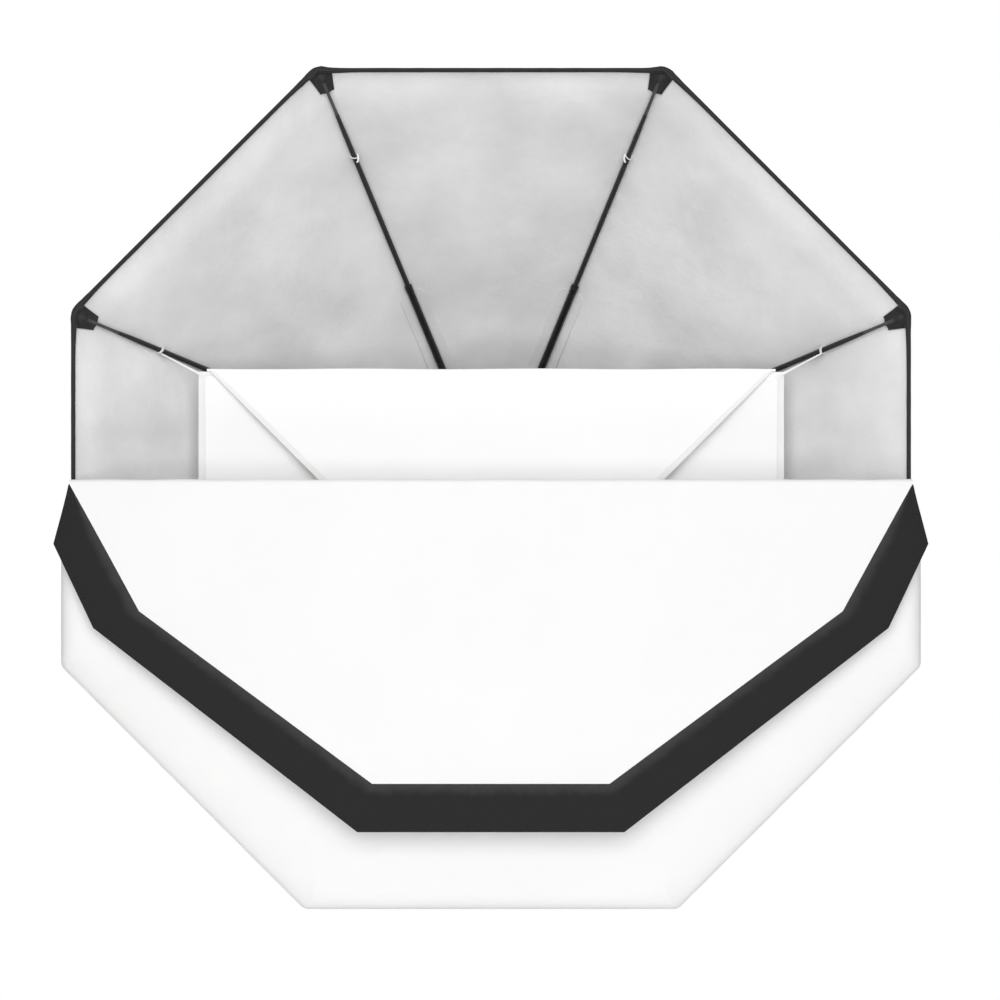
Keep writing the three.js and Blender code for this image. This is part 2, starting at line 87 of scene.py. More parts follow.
class Shader:
    """Small writer of one material's node tree."""

    def __init__(self, name: str, color: Sequence[float], roughness: float, metallic: float = 0.0):
        """Starts a material.

        Args:
            name: The material's name.
            color: Linear base colour.
            roughness: Base roughness.
            metallic: Metallic share.
        """
        self.material = bpy.data.materials.new(name)
        self.material.use_nodes = True
        self.tree = self.material.node_tree
        self.surface = self.tree.nodes["Principled BSDF"]
        self.set("Base Color", (*color, 1.0))
        self.set("Roughness", roughness)
        self.set("Metallic", metallic)

    def set(self, socket: str, value: object) -> None:
        """Sets a constant on the surface shader's own socket."""
        self.surface.inputs[socket].default_value = value

    def node(self, kind: str, inputs: dict | None = None, **settings: object) -> bpy.types.Node:
        """Adds a node.

        Args:
            kind: Short node type, without the ShaderNode prefix.
            inputs: Constant values by socket name or index.
            settings: Node properties.

        Returns:
            The new node.
        """
        made = self.tree.nodes.new("ShaderNode" + kind)
        for key, value in settings.items():
            setattr(made, key, value)
        for key, value in (inputs or {}).items():
            made.inputs[key].default_value = value
        return made

    def link(self, source: bpy.types.NodeSocket, target: bpy.types.NodeSocket) -> None:
        """Joins two sockets."""
        self.tree.links.new(source, target)

    def coordinates(self, output: str, scale: Sequence[float]) -> bpy.types.NodeSocket:
        """Gives scaled UV or Object coordinates."""
        place = self.node("TexCoord")
        mapping = self.node("Mapping", {"Scale": tuple(scale)})
        self.link(place.outputs[output], mapping.inputs["Vector"])
        return mapping.outputs["Vector"]

    def noise(self, vector: bpy.types.NodeSocket, scale: float, detail: float) -> bpy.types.NodeSocket:
        """Adds a noise texture and gives its value."""
        made = self.node("TexNoise", {"Scale": scale, "Detail": detail})
        self.link(vector, made.inputs["Vector"])
        return made.outputs["Fac"]

    def remap(self, value: bpy.types.NodeSocket, low: float, high: float) -> bpy.types.NodeSocket:
        """Maps the middle of a 0 to 1 value to low and high."""
        made = self.node("MapRange", {"From Min": 0.3, "From Max": 0.7, "To Min": low, "To Max": high})
        self.link(value, made.inputs["Value"])
        return made.outputs["Result"]

    def tint(self, color: Sequence[float], factor: bpy.types.NodeSocket) -> None:
        """Multiplies the base colour by a varying factor."""
        made = self.node("Mix", {6: (*color, 1.0)}, data_type="RGBA", blend_type="MULTIPLY")
        made.inputs[0].default_value = 1.0
        self.link(factor, made.inputs[7])
        self.link(made.outputs[2], self.surface.inputs["Base Color"])

    def bump(self, *layers: tuple[bpy.types.NodeSocket, float, float]) -> None:
        """Chains bump layers.

        Args:
            layers: Height socket, strength and distance in metres of each layer.
        """
        previous = None
        for height, strength, distance in layers:
            made = self.node("Bump", {"Strength": strength, "Distance": distance})
            self.link(height, made.inputs["Height"])
            if previous is not None:
                self.link(previous, made.inputs["Normal"])
            previous = made.outputs["Normal"]
        self.link(previous, self.surface.inputs["Normal"])

    def hooks(self, place: bpy.types.NodeSocket, pitch: float, strength: float, height: float) -> None:
        """Raises rows of small hooks under a fine fuzz.

        Args:
            place: Coordinates on the tape.
            pitch: Distance between hooks.
            strength: Strength of the hooks' bump.
            height: Height of a hook.
        """
        cells = self.node("TexVoronoi", {"Scale": 1.0 / pitch, "Randomness": 0.35})
        self.link(place, cells.inputs["Vector"])
        fuzz = self.noise(place, 2600.0, 2.0)
        self.bump((cells.outputs["Distance"], strength, height), (fuzz, 0.4, 0.0003))

    def plain_weave(self, pitch: float) -> bpy.types.NodeSocket:
        """Height of a plain weave on UVs in metres.

        Args:
            pitch: Distance between threads.

        Returns:
            The height socket.
        """
        wave_scale = math.pi / 10.0 / pitch
        place = self.coordinates("UV", (1.0, 1.0, 1.0))
        threads = []
        for direction in ("X", "Y"):
            wave = self.node("TexWave", {"Scale": wave_scale}, bands_direction=direction)
            self.link(place, wave.inputs["Vector"])
            threads.append(wave.outputs["Fac"])
        checker = self.node("TexChecker", {"Scale": 1.0 / pitch})
        self.link(place, checker.inputs["Vector"])
        over = self.node("Mix", data_type="FLOAT")
        self.link(checker.outputs["Fac"], over.inputs[0])
        self.link(threads[0], over.inputs[2])
        self.link(threads[1], over.inputs[3])
        return over.outputs[0]


@dataclass(frozen=True)
class Cloth:
    """Woven nylon with a fine plain weave and soft handling marks."""

    name: str
    color: tuple[float, float, float]
    roughness: float = 0.7
    pitch: float = 0.0006
    weave: float = 0.25
    mottle: float = 0.03
    crease: float = 0.15
    sheen: float = 0.15

    def build(self) -> bpy.types.Material:
        """Builds the material."""
        shader = Shader(self.name, self.color, self.roughness)
        shader.set("Sheen Weight", self.sheen)
        shader.set("Sheen Roughness", 0.4)
        place = shader.coordinates("Object", (1.0, 1.0, 1.0))
        clouds = shader.noise(place, 9.0, 3.0)
        shader.tint(self.color, shader.remap(clouds, 1.0 - self.mottle, 1.0 + self.mottle))
        fine = shader.noise(place, 900.0, 2.0)
        shader.link(
            shader.remap(fine, self.roughness - 0.06, self.roughness + 0.06),
            shader.surface.inputs["Roughness"],
        )
        creases = shader.noise(place, 26.0, 4.0)
        shader.bump(
            (creases, self.crease, 0.004),
            (shader.plain_weave(self.pitch), self.weave, 0.0002),
        )
        return shader.material


@dataclass(frozen=True)
class SilverLining:
    """Silver-coated lining with a pebbled, slightly crushed surface."""

    name: str
    color: tuple[float, float, float]
    metallic: float = 0.12
    roughness: float = 0.55

    def build(self) -> bpy.types.Material:
        """Builds the material."""
        shader = Shader(self.name, self.color, self.roughness, self.metallic)
        place = shader.coordinates("Object", (1.0, 1.0, 1.0))
        clouds = shader.noise(place, 11.0, 6.0)
        shader.tint(self.color, shader.remap(clouds, 0.89, 1.07))
        pebbles = shader.node("TexVoronoi", {"Scale": 420.0}, feature="SMOOTH_F1")
        shader.link(place, pebbles.inputs["Vector"])
        crush = shader.noise(place, 38.0, 6.0)
        grain = shader.noise(place, 160.0, 3.0)
        shader.link(
            shader.remap(grain, self.roughness - 0.08, self.roughness + 0.1),
            shader.surface.inputs["Roughness"],
        )
        shader.bump(
            (crush, 0.3, 0.003),
            (grain, 0.35, 0.0006),
            (pebbles.outputs["Distance"], 0.4, 0.0003),
        )
        return shader.material


@dataclass(frozen=True)
class HookTape:
    """Black hook-and-loop tape: rows of small hooks or a brushed pile."""

    name: str
    color: tuple[float, float, float]
    hook_pitch: float = 0.0016
    pile: float = 0.5

    def build(self) -> bpy.types.Material:
        """Builds the material."""
        shader = Shader(self.name, self.color, 0.9)
        shader.set("Sheen Weight", 0.08)
        shader.set("Sheen Roughness", 0.5)
        place = shader.coordinates("UV", (1.0, 1.0, 1.0))
        wear = shader.noise(shader.coordinates("Object", (1.0, 1.0, 1.0)), 14.0, 4.0)
        shader.tint(self.color, shader.remap(wear, 0.82, 1.25))
        shader.hooks(place, self.hook_pitch, self.pile, 0.0008)
        return shader.material


@dataclass(frozen=True)
class EdgeHighlightTape:
    """Black hook tape with a painted highlight along its sewn edge, where the band's rolled edge would
    catch the light.
    """

    name: str
    highlight_color: tuple[float, float, float]
    color: tuple[float, float, float]
    highlight_width: float = 0.015
    hook_pitch: float = 0.0016

    def build(self) -> bpy.types.Material:
        """Builds the material."""
        shader = Shader(self.name, self.color, 0.85)
        shader.set("Sheen Weight", 0.08)
        shader.set("Sheen Roughness", 0.5)
        place = shader.coordinates("UV", (1.0, 1.0, 1.0))
        axes = shader.node("SeparateXYZ")
        shader.link(place, axes.inputs[0])
        cloud = shader.noise(place, 60.0, 3.0)
        ragged = shader.node("MapRange", {"From Min": 0.3, "From Max": 0.7,
                                          "To Min": -0.002, "To Max": 0.002})
        shader.link(cloud, ragged.inputs["Value"])
        across = shader.node("Math", operation="ADD")
        shader.link(axes.outputs[0], across.inputs[0])
        shader.link(ragged.outputs["Result"], across.inputs[1])
        # Painted highlight: the tape is coloured lighter near its sewn edge and fades into the black,
        # standing in for light on the rolled edge.
        share = shader.node("MapRange", {"From Min": 0.0, "From Max": self.highlight_width},
                            interpolation_type="SMOOTHSTEP")
        shader.link(across.outputs[0], share.inputs["Value"])
        mixed = shader.node("Mix", {6: (*self.highlight_color, 1.0), 7: (*self.color, 1.0)},
                            data_type="RGBA")
        shader.link(share.outputs["Result"], mixed.inputs[0])
        shader.link(mixed.outputs[2], shader.surface.inputs["Base Color"])
        shader.hooks(place, self.hook_pitch, 0.4, 0.0006)
        return shader.material


@dataclass(frozen=True)
class RibbedTape:
    """Narrow woven tape or elastic with ribs across its length."""

    name: str
    color: tuple[float, float, float]
    rib: float = 0.0012
    strength: float = 0.5

    def build(self) -> bpy.types.Material:
        """Builds the material."""
        shader = Shader(self.name, self.color, 0.75)
        shader.set("Sheen Weight", 0.05)
        place = shader.coordinates("UV", (1.0, 1.0, 1.0))
        ribs = shader.node("TexWave", {"Scale": math.pi / 10.0 / self.rib, "Distortion": 0.6},
                           bands_direction="Y")
        shader.link(place, ribs.inputs["Vector"])
        blotch = shader.noise(shader.coordinates("Object", (1.0, 1.0, 1.0)), 30.0, 3.0)
        shader.tint(self.color, shader.remap(blotch, 0.9, 1.1))
        shader.bump((ribs.outputs["Fac"], self.strength, 0.0003))
        return shader.material


@dataclass(frozen=True)
class Metal:
    """Cast, coated, plated or enamelled metal."""

    name: str
    color: tuple[float, float, float]
    roughness: float
    metallic: float
    grain_scale: float
    grain: float
    stretch: tuple[float, float, float] = (1.0, 1.0, 1.0)
    coat: float = 0.0

    def build(self) -> bpy.types.Material:
        """Builds the material."""
        shader = Shader(self.name, self.color, self.roughness, self.metallic)
        shader.set("Coat Weight", self.coat)
        place = shader.coordinates("Object", self.stretch)
        grain = shader.noise(place, self.grain_scale, 3.0)
        wear = shader.noise(place, 45.0, 5.0)
        shader.tint(self.color, shader.remap(wear, 0.88, 1.12))
        shader.link(
            shader.remap(wear, self.roughness - 0.07, self.roughness + 0.07),
            shader.surface.inputs["Roughness"],
        )
        shader.bump((grain, self.grain, 0.0002))
        return shader.material


class Finishes:
    """All the finishes of the softbox, built once."""

    def __init__(self) -> None:
        """Builds each material."""
        self.nylon = Cloth("black_nylon", (0.010, 0.010, 0.0105), 0.6, 0.0005, 0.3, 0.1, 0.2,
                           0.12).build()
        self.white = Cloth("white_diffusion_nylon", (0.815, 0.815, 0.812), 0.8, 0.0004, 0.15, 0.008,
                           0.05).build()
        # The baffle is the front's white nylon painted brighter, as painted light for the light that
        # reaches it inside the softbox.
        self.baffle = Cloth("baffle_nylon_painted_brighter", (0.90, 0.90, 0.897), 0.8, 0.0004, 0.15, 0.008, 0.05).build()
        self.white_hem = Cloth("white_hem", (0.83, 0.83, 0.827), 0.8, 0.0007, 0.3, 0.01, 0.1).build()
        self.lining = SilverLining("silver_lining", (0.82, 0.82, 0.822)).build()
        self.hook = HookTape("hook_tape", (0.009, 0.009, 0.0093)).build()
        self.loop = HookTape("loop_tape", (0.011, 0.011, 0.0115), 0.0024, 0.8).build()
        # The band tape's first colour is a painted highlight for its sewn edge.
        self.band = EdgeHighlightTape("band_tape", (0.032, 0.032, 0.033), (0.0042, 0.0042, 0.0044)).build()
        self.binding = RibbedTape("black_binding", (0.012, 0.012, 0.0125)).build()
        self.elastic = RibbedTape("white_elastic", (0.85, 0.85, 0.84), 0.0010, 0.7).build()
        self.black_thread = RibbedTape("black_thread", (0.010, 0.010, 0.0105), 0.0004, 0.4).build()
        self.white_thread = RibbedTape("white_thread", (0.82, 0.82, 0.81), 0.0004, 0.4).build()
        self.fibreglass = Metal("fibreglass", (0.014, 0.014, 0.015), 0.45, 0.0, 900.0, 0.25,
                                coat=0.1).build()
        self.enamel = Metal("enamelled_tube", (0.006, 0.006, 0.0065), 0.4, 0.0, 500.0, 0.12,
                            coat=0.1).build()
        self.bare_tip = Metal("bare_tip", (0.07, 0.07, 0.073), 0.45, 0.2, 700.0, 0.2).build()
        self.powder = Metal("powder_coat", (0.022, 0.022, 0.023), 0.55, 0.0, 1500.0, 0.6).build()
        self.zinc = Metal("zinc_plate", (0.56, 0.57, 0.58), 0.34, 0.95, 260.0, 0.25,
                          (1.0, 6.0, 1.0)).build()
        self.moulded = Metal("moulded_nylon", (0.018, 0.018, 0.019), 0.5, 0.0, 2200.0, 0.5).build()


# ---- bench: making, dressing and registering pieces --------------------------------------------


class Bench:
    """Makes pieces, gives each its finish and body, and reports it."""

    def __init__(self) -> None:
        """Starts with no pieces."""
        self.count = 0

    @staticmethod
    def only(piece: bpy.types.Object) -> None:
        """Selects one object and makes it active."""
        bpy.ops.object.select_all(action="DESELECT")
        piece.select_set(True)
        bpy.context.view_layer.objects.active = piece

    @classmethod
    def apply(cls, piece: bpy.types.Object, kind: str, **settings: object) -> None:
        """Adds a modifier with these settings and applies it."""
        cls.only(piece)
        modifier = piece.modifiers.new(kind.lower(), kind)
        for key, value in settings.items():
            setattr(modifier, key, value)
        bpy.ops.object.modifier_apply(modifier=modifier.name)

    @classmethod
    def outward(cls, piece: bpy.types.Object, weld: float = 1e-6) -> None:
        """Welds doubles and points every face outwards."""
        cls.only(piece)
        bpy.ops.object.mode_set(mode="EDIT")
        bpy.ops.mesh.select_all(action="SELECT")
        bpy.ops.mesh.remove_doubles(threshold=weld)
        bpy.ops.mesh.normals_make_consistent(inside=False)
        bpy.ops.object.mode_set(mode="OBJECT")

    @classmethod
    def smooth(cls, piece: bpy.types.Object, angle: float = 35.0) -> None:
        """Shades a piece smooth up to an angle in degrees."""
        cls.only(piece)
        bpy.ops.object.shade_smooth_by_angle(angle=math.radians(angle))

    @staticmethod
    def link(name: str, mesh: bpy.types.Mesh) -> bpy.types.Object:
        """Makes an object of a mesh and links it to the scene."""
        piece = bpy.data.objects.new(name, mesh)
        bpy.context.scene.collection.objects.link(piece)
        return piece

    @staticmethod
    def grid_mesh(name: str, points: np.ndarray, uv: np.ndarray, ring: bool) -> bpy.types.Mesh:
        """Joins a grid of points into a mesh with UVs.

        Args:
            name: The mesh's name.
            points: Rows by columns by three.
            uv: Rows by columns by two, in metres.
            ring: Whether the last column joins the first.

        Returns:
            The mesh.
        """
        rows, columns = points.shape[:2]
        mesh = bpy.data.meshes.new(name)
        wrap = columns if ring else columns - 1
        faces = [
            (r * columns + c, r * columns + (c + 1) % columns,
             (r + 1) * columns + (c + 1) % columns, (r + 1) * columns + c)
            for r in range(rows - 1) for c in range(wrap)
        ]
        mesh.from_pydata(points.reshape(-1, 3).tolist(), [], faces)
        layer = mesh.uv_layers.new(name="UVMap")
        corners = np.empty(len(mesh.loops), dtype=np.int32)
        mesh.loops.foreach_get("vertex_index", corners)
        layer.data.foreach_set("uv", uv.reshape(-1, 2)[corners].ravel())
        return mesh

    def sheet(self, name: str, points: np.ndarray, uv: np.ndarray, thickness: float,
              ring: bool = False, pole: bool = False) -> bpy.types.Object:
        """Makes closed thin cloth from a grid of points on its middle.

        Args:
            name: The piece's name.
            points: Rows by columns by three.
            uv: Rows by columns by two, in metres.
            thickness: Cloth thickness.
            ring: Whether the last column joins the first.
            pole: Whether the first row is one point.

        Returns:
            The new object.
        """
        piece = self.link(name, self.grid_mesh(name, points, uv, ring))
        if pole:
            mesh = piece.data
            work = bmesh.new()
            work.from_mesh(mesh)
            bmesh.ops.remove_doubles(work, verts=work.verts, dist=1e-6)
            work.to_mesh(mesh)
            work.free()
        self.apply(piece, "SOLIDIFY", thickness=thickness, offset=0.0)
        self.outward(piece)
        self.smooth(piece)
        return piece

    def register(self, piece: bpy.types.Object, material: bpy.types.Material, body: Body,
                 slot: str, nodes: Sequence[str] = ()) -> bpy.types.Object:
        """Dresses a piece, puts it on its body and reports it.

        Args:
            piece: The finished object.
            material: Its finish.
            body: The body it rides on.
            slot: Not used.
            nodes: Frame nodes that it stands for.

        Returns:
            The piece.
        """
        self.dress(piece, material, nodes)
        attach(piece, body.value)
        return piece

    def register_bent(self, piece: bpy.types.Object, material: bpy.types.Material,
                      bodies: tuple[Body, Body], line: tuple[Vector, Vector], slot: str,
                      nodes: Sequence[str] = ()) -> bpy.types.Object:
        """Dresses cloth and bakes its placement into its mesh, leaving it on no body.

        Args:
            piece: The finished object.
            material: Its finish.
            bodies: Not used.
            line: Not used.
            slot: Not used.
            nodes: Frame nodes that it stands for.

        Returns:
            The piece.
        """
        self.dress(piece, material, nodes)
        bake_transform(piece)
        return piece

    def dress(self, piece: bpy.types.Object, material: bpy.types.Material,
              nodes: Sequence[str]) -> None:
        """Gives a piece its material, hides the frame nodes it replaces, and logs it."""
        piece.data.materials.clear()
        piece.data.materials.append(material)
        if nodes:
            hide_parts(*nodes)
        self.count += 1
        log.info("%s: %d faces", piece.name, len(piece.data.polygons))

    def stitches(self, name: str, rows: Sequence[tuple[np.ndarray, np.ndarray]],
                 length: float = 0.0028, pitch: float = 0.0040,
                 radius: float = 0.00038) -> bpy.types.Object:
        """Lays rows of lockstitch on cloth.

        Args:
            name: The piece's name.
            rows: Paths and the cloth's normals at their points.
            length: Length of a stitch.
            pitch: Distance from stitch to stitch.
            radius: Half the thread's thickness.

        Returns:
            One object with every stitch.
        """
        vertices: list[np.ndarray] = []
        faces: list[tuple[int, int, int]] = []
        for path, normals in rows:
            steps = np.linalg.norm(np.diff(path, axis=0), axis=1)
            along = np.concatenate([[0.0], np.cumsum(steps)])
            count = max(1, int(along[-1] / pitch))
            for centre in (np.arange(count) + 0.5) * along[-1] / count:
                ends = [centre - length / 2, centre, centre + length / 2]
                back, middle, front = (
                    np.array([np.interp(d, along, path[:, axis]) for axis in range(3)]) for d in ends
                )
                normal = np.array([np.interp(centre, along, normals[:, axis]) for axis in range(3)])
                side = np.cross(front - back, normal)
                side *= radius / max(np.linalg.norm(side), 1e-9)
                lift = normal * radius
                start = len(vertices)
                vertices += [back - lift, middle + side, middle + lift, middle - side,
                             middle - lift, front - lift]
                faces += [(start, start + 1 + k, start + 1 + (k + 1) % 4) for k in range(4)]
                faces += [(start + 5, start + 1 + (k + 1) % 4, start + 1 + k) for k in range(4)]
        mesh = bpy.data.meshes.new(name)
        mesh.from_pydata([tuple(v) for v in vertices], [], faces)
        mesh.uv_layers.new(name="UVMap")
        piece = self.link(name, mesh)
        self.outward(piece, 0.0)
        return piece

    def refined(self, node: str, name: str, bevel: float) -> bpy.types.Object:
        """Copies a frame node's shape, merges it and rounds its edges.

        Args:
            node: The frame node.
            name: Name of the finished piece.
            bevel: Width of the rounded edges.

        Returns:
            The new object.
        """
        piece = self.link(name, frame["nodes"][node].data.copy())
        self.only(piece)
        bpy.ops.object.mode_set(mode="EDIT")
        bpy.ops.mesh.select_all(action="SELECT")
        bpy.ops.mesh.remove_doubles(threshold=2e-6)
        bpy.ops.mesh.dissolve_limited(angle_limit=math.radians(0.5))
        bpy.ops.mesh.normals_make_consistent(inside=False)
        bpy.ops.object.mode_set(mode="OBJECT")
        self.apply(piece, "BEVEL", width=bevel, segments=2, limit_method="ANGLE",
                   angle_limit=math.radians(30.0), use_clamp_overlap=True)
        self.smooth(piece, 32.0)
        return piece


@dataclass(frozen=True)
class Ripples:
    """Gentle uneven waves of hand-sewn cloth, the same on every run."""

    seed: int
    height: float
    across: float
    along: float
    waves: int = 7

    def at(self, a: np.ndarray, b: np.ndarray) -> np.ndarray:
        """Height of the waves.

        Args:
            a: Distance across the cloth.
            b: Distance along it.

        Returns:
            Heights in metres, at most about the ripple height.
        """
        draw = np.random.RandomState(self.seed)
        total = np.zeros(np.broadcast(a, b).shape)
        for _ in range(self.waves):
            wide = draw.uniform(0.6, 1.7) * 2 * math.pi / self.across
            long = draw.uniform(-1.0, 1.0) * 2 * math.pi / self.along
            total = total + np.sin(a * wide + b * long + draw.uniform(0, 2 * math.pi))
        return self.height * total / math.sqrt(self.waves)


def turn_about_axis(points: np.ndarray, angle: float) -> np.ndarray:
    """Turns points about the softbox's axis.

    Args:
        points: Points as radial, depth and tangential distance, in the last axis.
        angle: Angle from +X towards +Z.

    Returns:
        The same points as x, y and z.
    """
    radial, depth, side = points[..., 0], points[..., 1], points[..., 2]
    return np.stack([
        radial * math.cos(angle) - side * math.sin(angle), depth,
        radial * math.sin(angle) + side * math.cos(angle),
    ], axis=-1)


def rod_angle(index: int) -> float:
    """Angle of a corner and its rod, from +X towards +Z."""
    return HALF_STEP + index * 2 * HALF_STEP


def along_path(path: np.ndarray) -> np.ndarray:
    """Distance from the first point to each point of a path."""
    steps = np.linalg.norm(np.diff(path, axis=0), axis=1)
    return np.concatenate([[0.0], np.cumsum(steps)])


# ---- shell: panels, lining, seams, rim and corners ----------------------------------------------


@dataclass(frozen=True)
class SkinCurve:
    """Corner seam of the shell in its radial plane, as radius and depth."""

    start: tuple[float, float] = (0.0843, -0.0295)
    bow: tuple[float, float] = (0.316, -0.148)
    end: tuple[float, float] = (0.480, -0.359)
    first: float = 0.06

    def place(self, t: np.ndarray, lift: float | np.ndarray) -> tuple[np.ndarray, ...]:
        """Point and outward normal at t, lifted off the cloth's inner face.

        Args:
            t: Share of the way along the curve.
            lift: Distance outwards from the inner face.

        Returns:
            Radius, depth, and the normal's radial and depth parts.
        """
        start, bow, end = (np.array(p) for p in (self.start, self.bow, self.end))
        t = np.asarray(t, dtype=float)[..., None]
        point = (1 - t) ** 2 * start + 2 * t * (1 - t) * bow + t ** 2 * end
        along = (1 - t) * (bow - start) + t * (end - bow)
        along = along / np.linalg.norm(along, axis=-1, keepdims=True)
        radius = point[..., 0] - along[..., 1] * lift
        depth = point[..., 1] + along[..., 0] * lift
        return radius, depth, -along[..., 1], along[..., 0]


@dataclass
class Shell:
    """Sewn octagonal shell: black nylon outside, silver lining inside."""

    bench: Bench
    finishes: Finishes
    skin: SkinCurve = field(default_factory=SkinCurve)
    rows: int = 46
    columns: int = 34
    middle_slack: float = 0.007
    straight_flare: float = 0.0050
    slanted_flare: float = 0.0075
    last: float = 1.004
    lining_lift: float = 0.0003
    lining_start: float = 0.010
    outer_lift: float = 0.0013
    cloth: float = 0.0004

    def surface(self, t: np.ndarray, u: np.ndarray, lift: np.ndarray | float,
                angle: float) -> np.ndarray:
        """Points of one panel.

        Args:
            t: Share of the way from the ring to the rim.
            u: Place across the panel, from -1 to 1.
            lift: Distance outwards from the inner face.
            angle: Direction of the panel's middle.

        Returns:
            Points as x, y and z.
        """
        t, u = np.broadcast_arrays(t, u)
        radius, depth, out, back = self.skin.place(t, 0.0)
        share = (t - self.skin.first) / (1 - self.skin.first)
        slack = self.middle_slack * np.sin(math.pi * np.clip(share, 0, 1))
        flare = np.clip((share - 0.93) / 0.07, 0, 1)
        side = round(angle / (2 * HALF_STEP)) % SIDES
        reach = self.slanted_flare if side % 2 else self.straight_flare
        corner = (self.slanted_flare + self.straight_flare) / 2
        reach = reach + (corner - reach) * np.abs(u) ** 12
        lift = lift - (1 - u ** 2) * slack
        wider = lift * out + reach * flare ** 2 * (3 - 2 * flare)
        points = np.stack([
            radius * math.cos(HALF_STEP) + wider, depth + lift * back,
            (radius + wider * np.abs(u)) * math.sin(HALF_STEP) * u,
        ], axis=-1)
        return turn_about_axis(points, angle)

    def panel_grid(self) -> tuple[np.ndarray, np.ndarray, np.ndarray]:
        """Places across and along a panel, and its UVs in metres."""
        t = np.linspace(self.skin.first, self.last, self.rows)[:, None]
        u = np.linspace(-0.999, 0.999, self.columns)[None, :]
        radius, depth, _, _ = self.skin.place(t[:, 0], 0.0)
        length = along_path(np.stack([radius, depth], axis=1))
        uv = np.stack([
            u * radius[:, None] * math.sin(HALF_STEP), length[:, None] + 0 * u,
        ], axis=-1)
        return t, u, uv

    def cut_size(self) -> tuple[float, float, float]:
        """Width, length and area of one panel as it is cut."""
        radius, depth, _, _ = self.skin.place(np.linspace(self.skin.first, 1.0, 60), 0.0)
        length = along_path(np.stack([radius, depth], axis=1))
        width = 2 * radius * math.sin(HALF_STEP)
        area = float(np.sum((width[1:] + width[:-1]) / 2 * np.diff(length)))
        return float(width[-1]), float(length[-1]), area

    def build_panels(self) -> None:
        """Builds the outer panel and the lining of each side."""
        width, length, area = self.cut_size()
        t, u, uv = self.panel_grid()
        for side in range(SIDES):
            waves = Ripples(40 + side, 0.0006, 0.05, 0.35).at(uv[..., 0], uv[..., 1])
            pucker = 0.0005 * np.sin(uv[..., 1] * 2 * math.pi / 0.017) * np.abs(u) ** 14
            relief = waves * (1 - u ** 2) + pucker
            angle = side * 2 * HALF_STEP
            node = f"shell_panel_{side + 1}"
            for name, lift, finish, nodes in (
                (f"shell_outer_{side + 1}", self.outer_lift, self.finishes.nylon, [node]),
                (f"shell_lining_{side + 1}", self.lining_lift, self.finishes.lining, []),
            ):
                start = 0.0 if nodes else self.lining_start
                along = t + start * np.clip((0.3 - t) / 0.24, 0, 1)
                points = self.surface(along, u, lift + relief, angle)
                piece = self.bench.sheet(name, points, uv, self.cloth)
                self.bench.register(piece, finish, Body.BOX, "shell_cloth", nodes)

    def seam_frame(self, t: np.ndarray, index: int) -> tuple[np.ndarray, np.ndarray, np.ndarray]:
        """Points, outward normals and sideways directions along one corner seam."""
        radius, depth, out, back = self.skin.place(t, self.outer_lift)
        angle = rod_angle(index)
        flat = np.zeros_like(radius)
        points = turn_about_axis(np.stack([radius, depth, flat], axis=-1), angle)
        normals = turn_about_axis(np.stack([out, back, flat], axis=-1), angle)
        side = turn_about_axis(np.stack([flat, flat, flat + 1], axis=-1), angle)
        return points, normals, side

    def build_seams(self) -> None:
        """Covers each outside corner with folded tape and two rows of stitches."""
        t = np.linspace(self.skin.first + 0.01, 0.995, 60)
        half, height = 0.0048, 0.0011
        across = np.linspace(-1, 1, 7)
        for index in range(SIDES):
            points, normals, side = self.seam_frame(t, index)
            drop = np.abs(across) * half * math.tan(HALF_STEP)
            rise = height * (1 - 0.35 * across ** 4)
            grid = (points[:, None, :] + side[:, None, :] * (across * half)[None, :, None]
                    + normals[:, None, :] * (rise - drop)[None, :, None])
            length = along_path(points)
            uv = np.stack([np.broadcast_to(across * half, (len(t), len(across))),
                           np.broadcast_to(length[:, None], (len(t), len(across)))], axis=-1)
            tape = self.bench.sheet(f"seam_tape_{index + 1}", grid, uv, 0.0006)
            self.bench.register(tape, self.finishes.binding, Body.BOX, "black_webbing")
            rows = []
            for place in (-0.72, 0.72):
                lift = height * 0.95 - abs(place) * half * math.tan(HALF_STEP) + 0.0003
                rows.append((points + side * place * half + normals * lift, normals))
            thread = self.bench.stitches(f"seam_stitches_{index + 1}", rows)
            self.bench.register(thread, self.finishes.black_thread, Body.BOX, "black_webbing")

    def build_lining_guides(self) -> None:
        """Adds the folded lining strip that guides each rod over its rear half."""
        t = np.linspace(0.13, 0.375, 24)
        across = np.linspace(-1, 1, 9)
        for index in range(SIDES):
            radius, depth, out, back = self.skin.place(t, 0.0)
            half = 0.015 * np.clip((0.385 - t) / 0.02, 0, 1)[:, None] ** 0.5
            drop = np.abs(across)[None, :] * half * math.tan(HALF_STEP)
            lift = -0.0006 - drop - 0.0009 * np.exp(-((across[None, :]) / 0.35) ** 2)
            points = np.stack([
                radius[:, None] + lift * out[:, None], depth[:, None] + lift * back[:, None],
                half * across[None, :],
            ], axis=-1)
            length = along_path(np.stack([radius, depth], axis=1))
            uv = np.stack([half * across[None, :],
                           np.broadcast_to(length[:, None], half.shape[:1] + across.shape)], axis=-1)
            points = turn_about_axis(points, rod_angle(index))
            strip = self.bench.sheet(f"rod_guide_{index + 1}", points, uv, 0.0003)
            self.bench.register(strip, self.finishes.lining, Body.BOX, "shell_cloth")

    def build(self) -> None:
        """Builds the whole shell."""
        self.build_panels()
        self.build_seams()
        self.build_lining_guides()


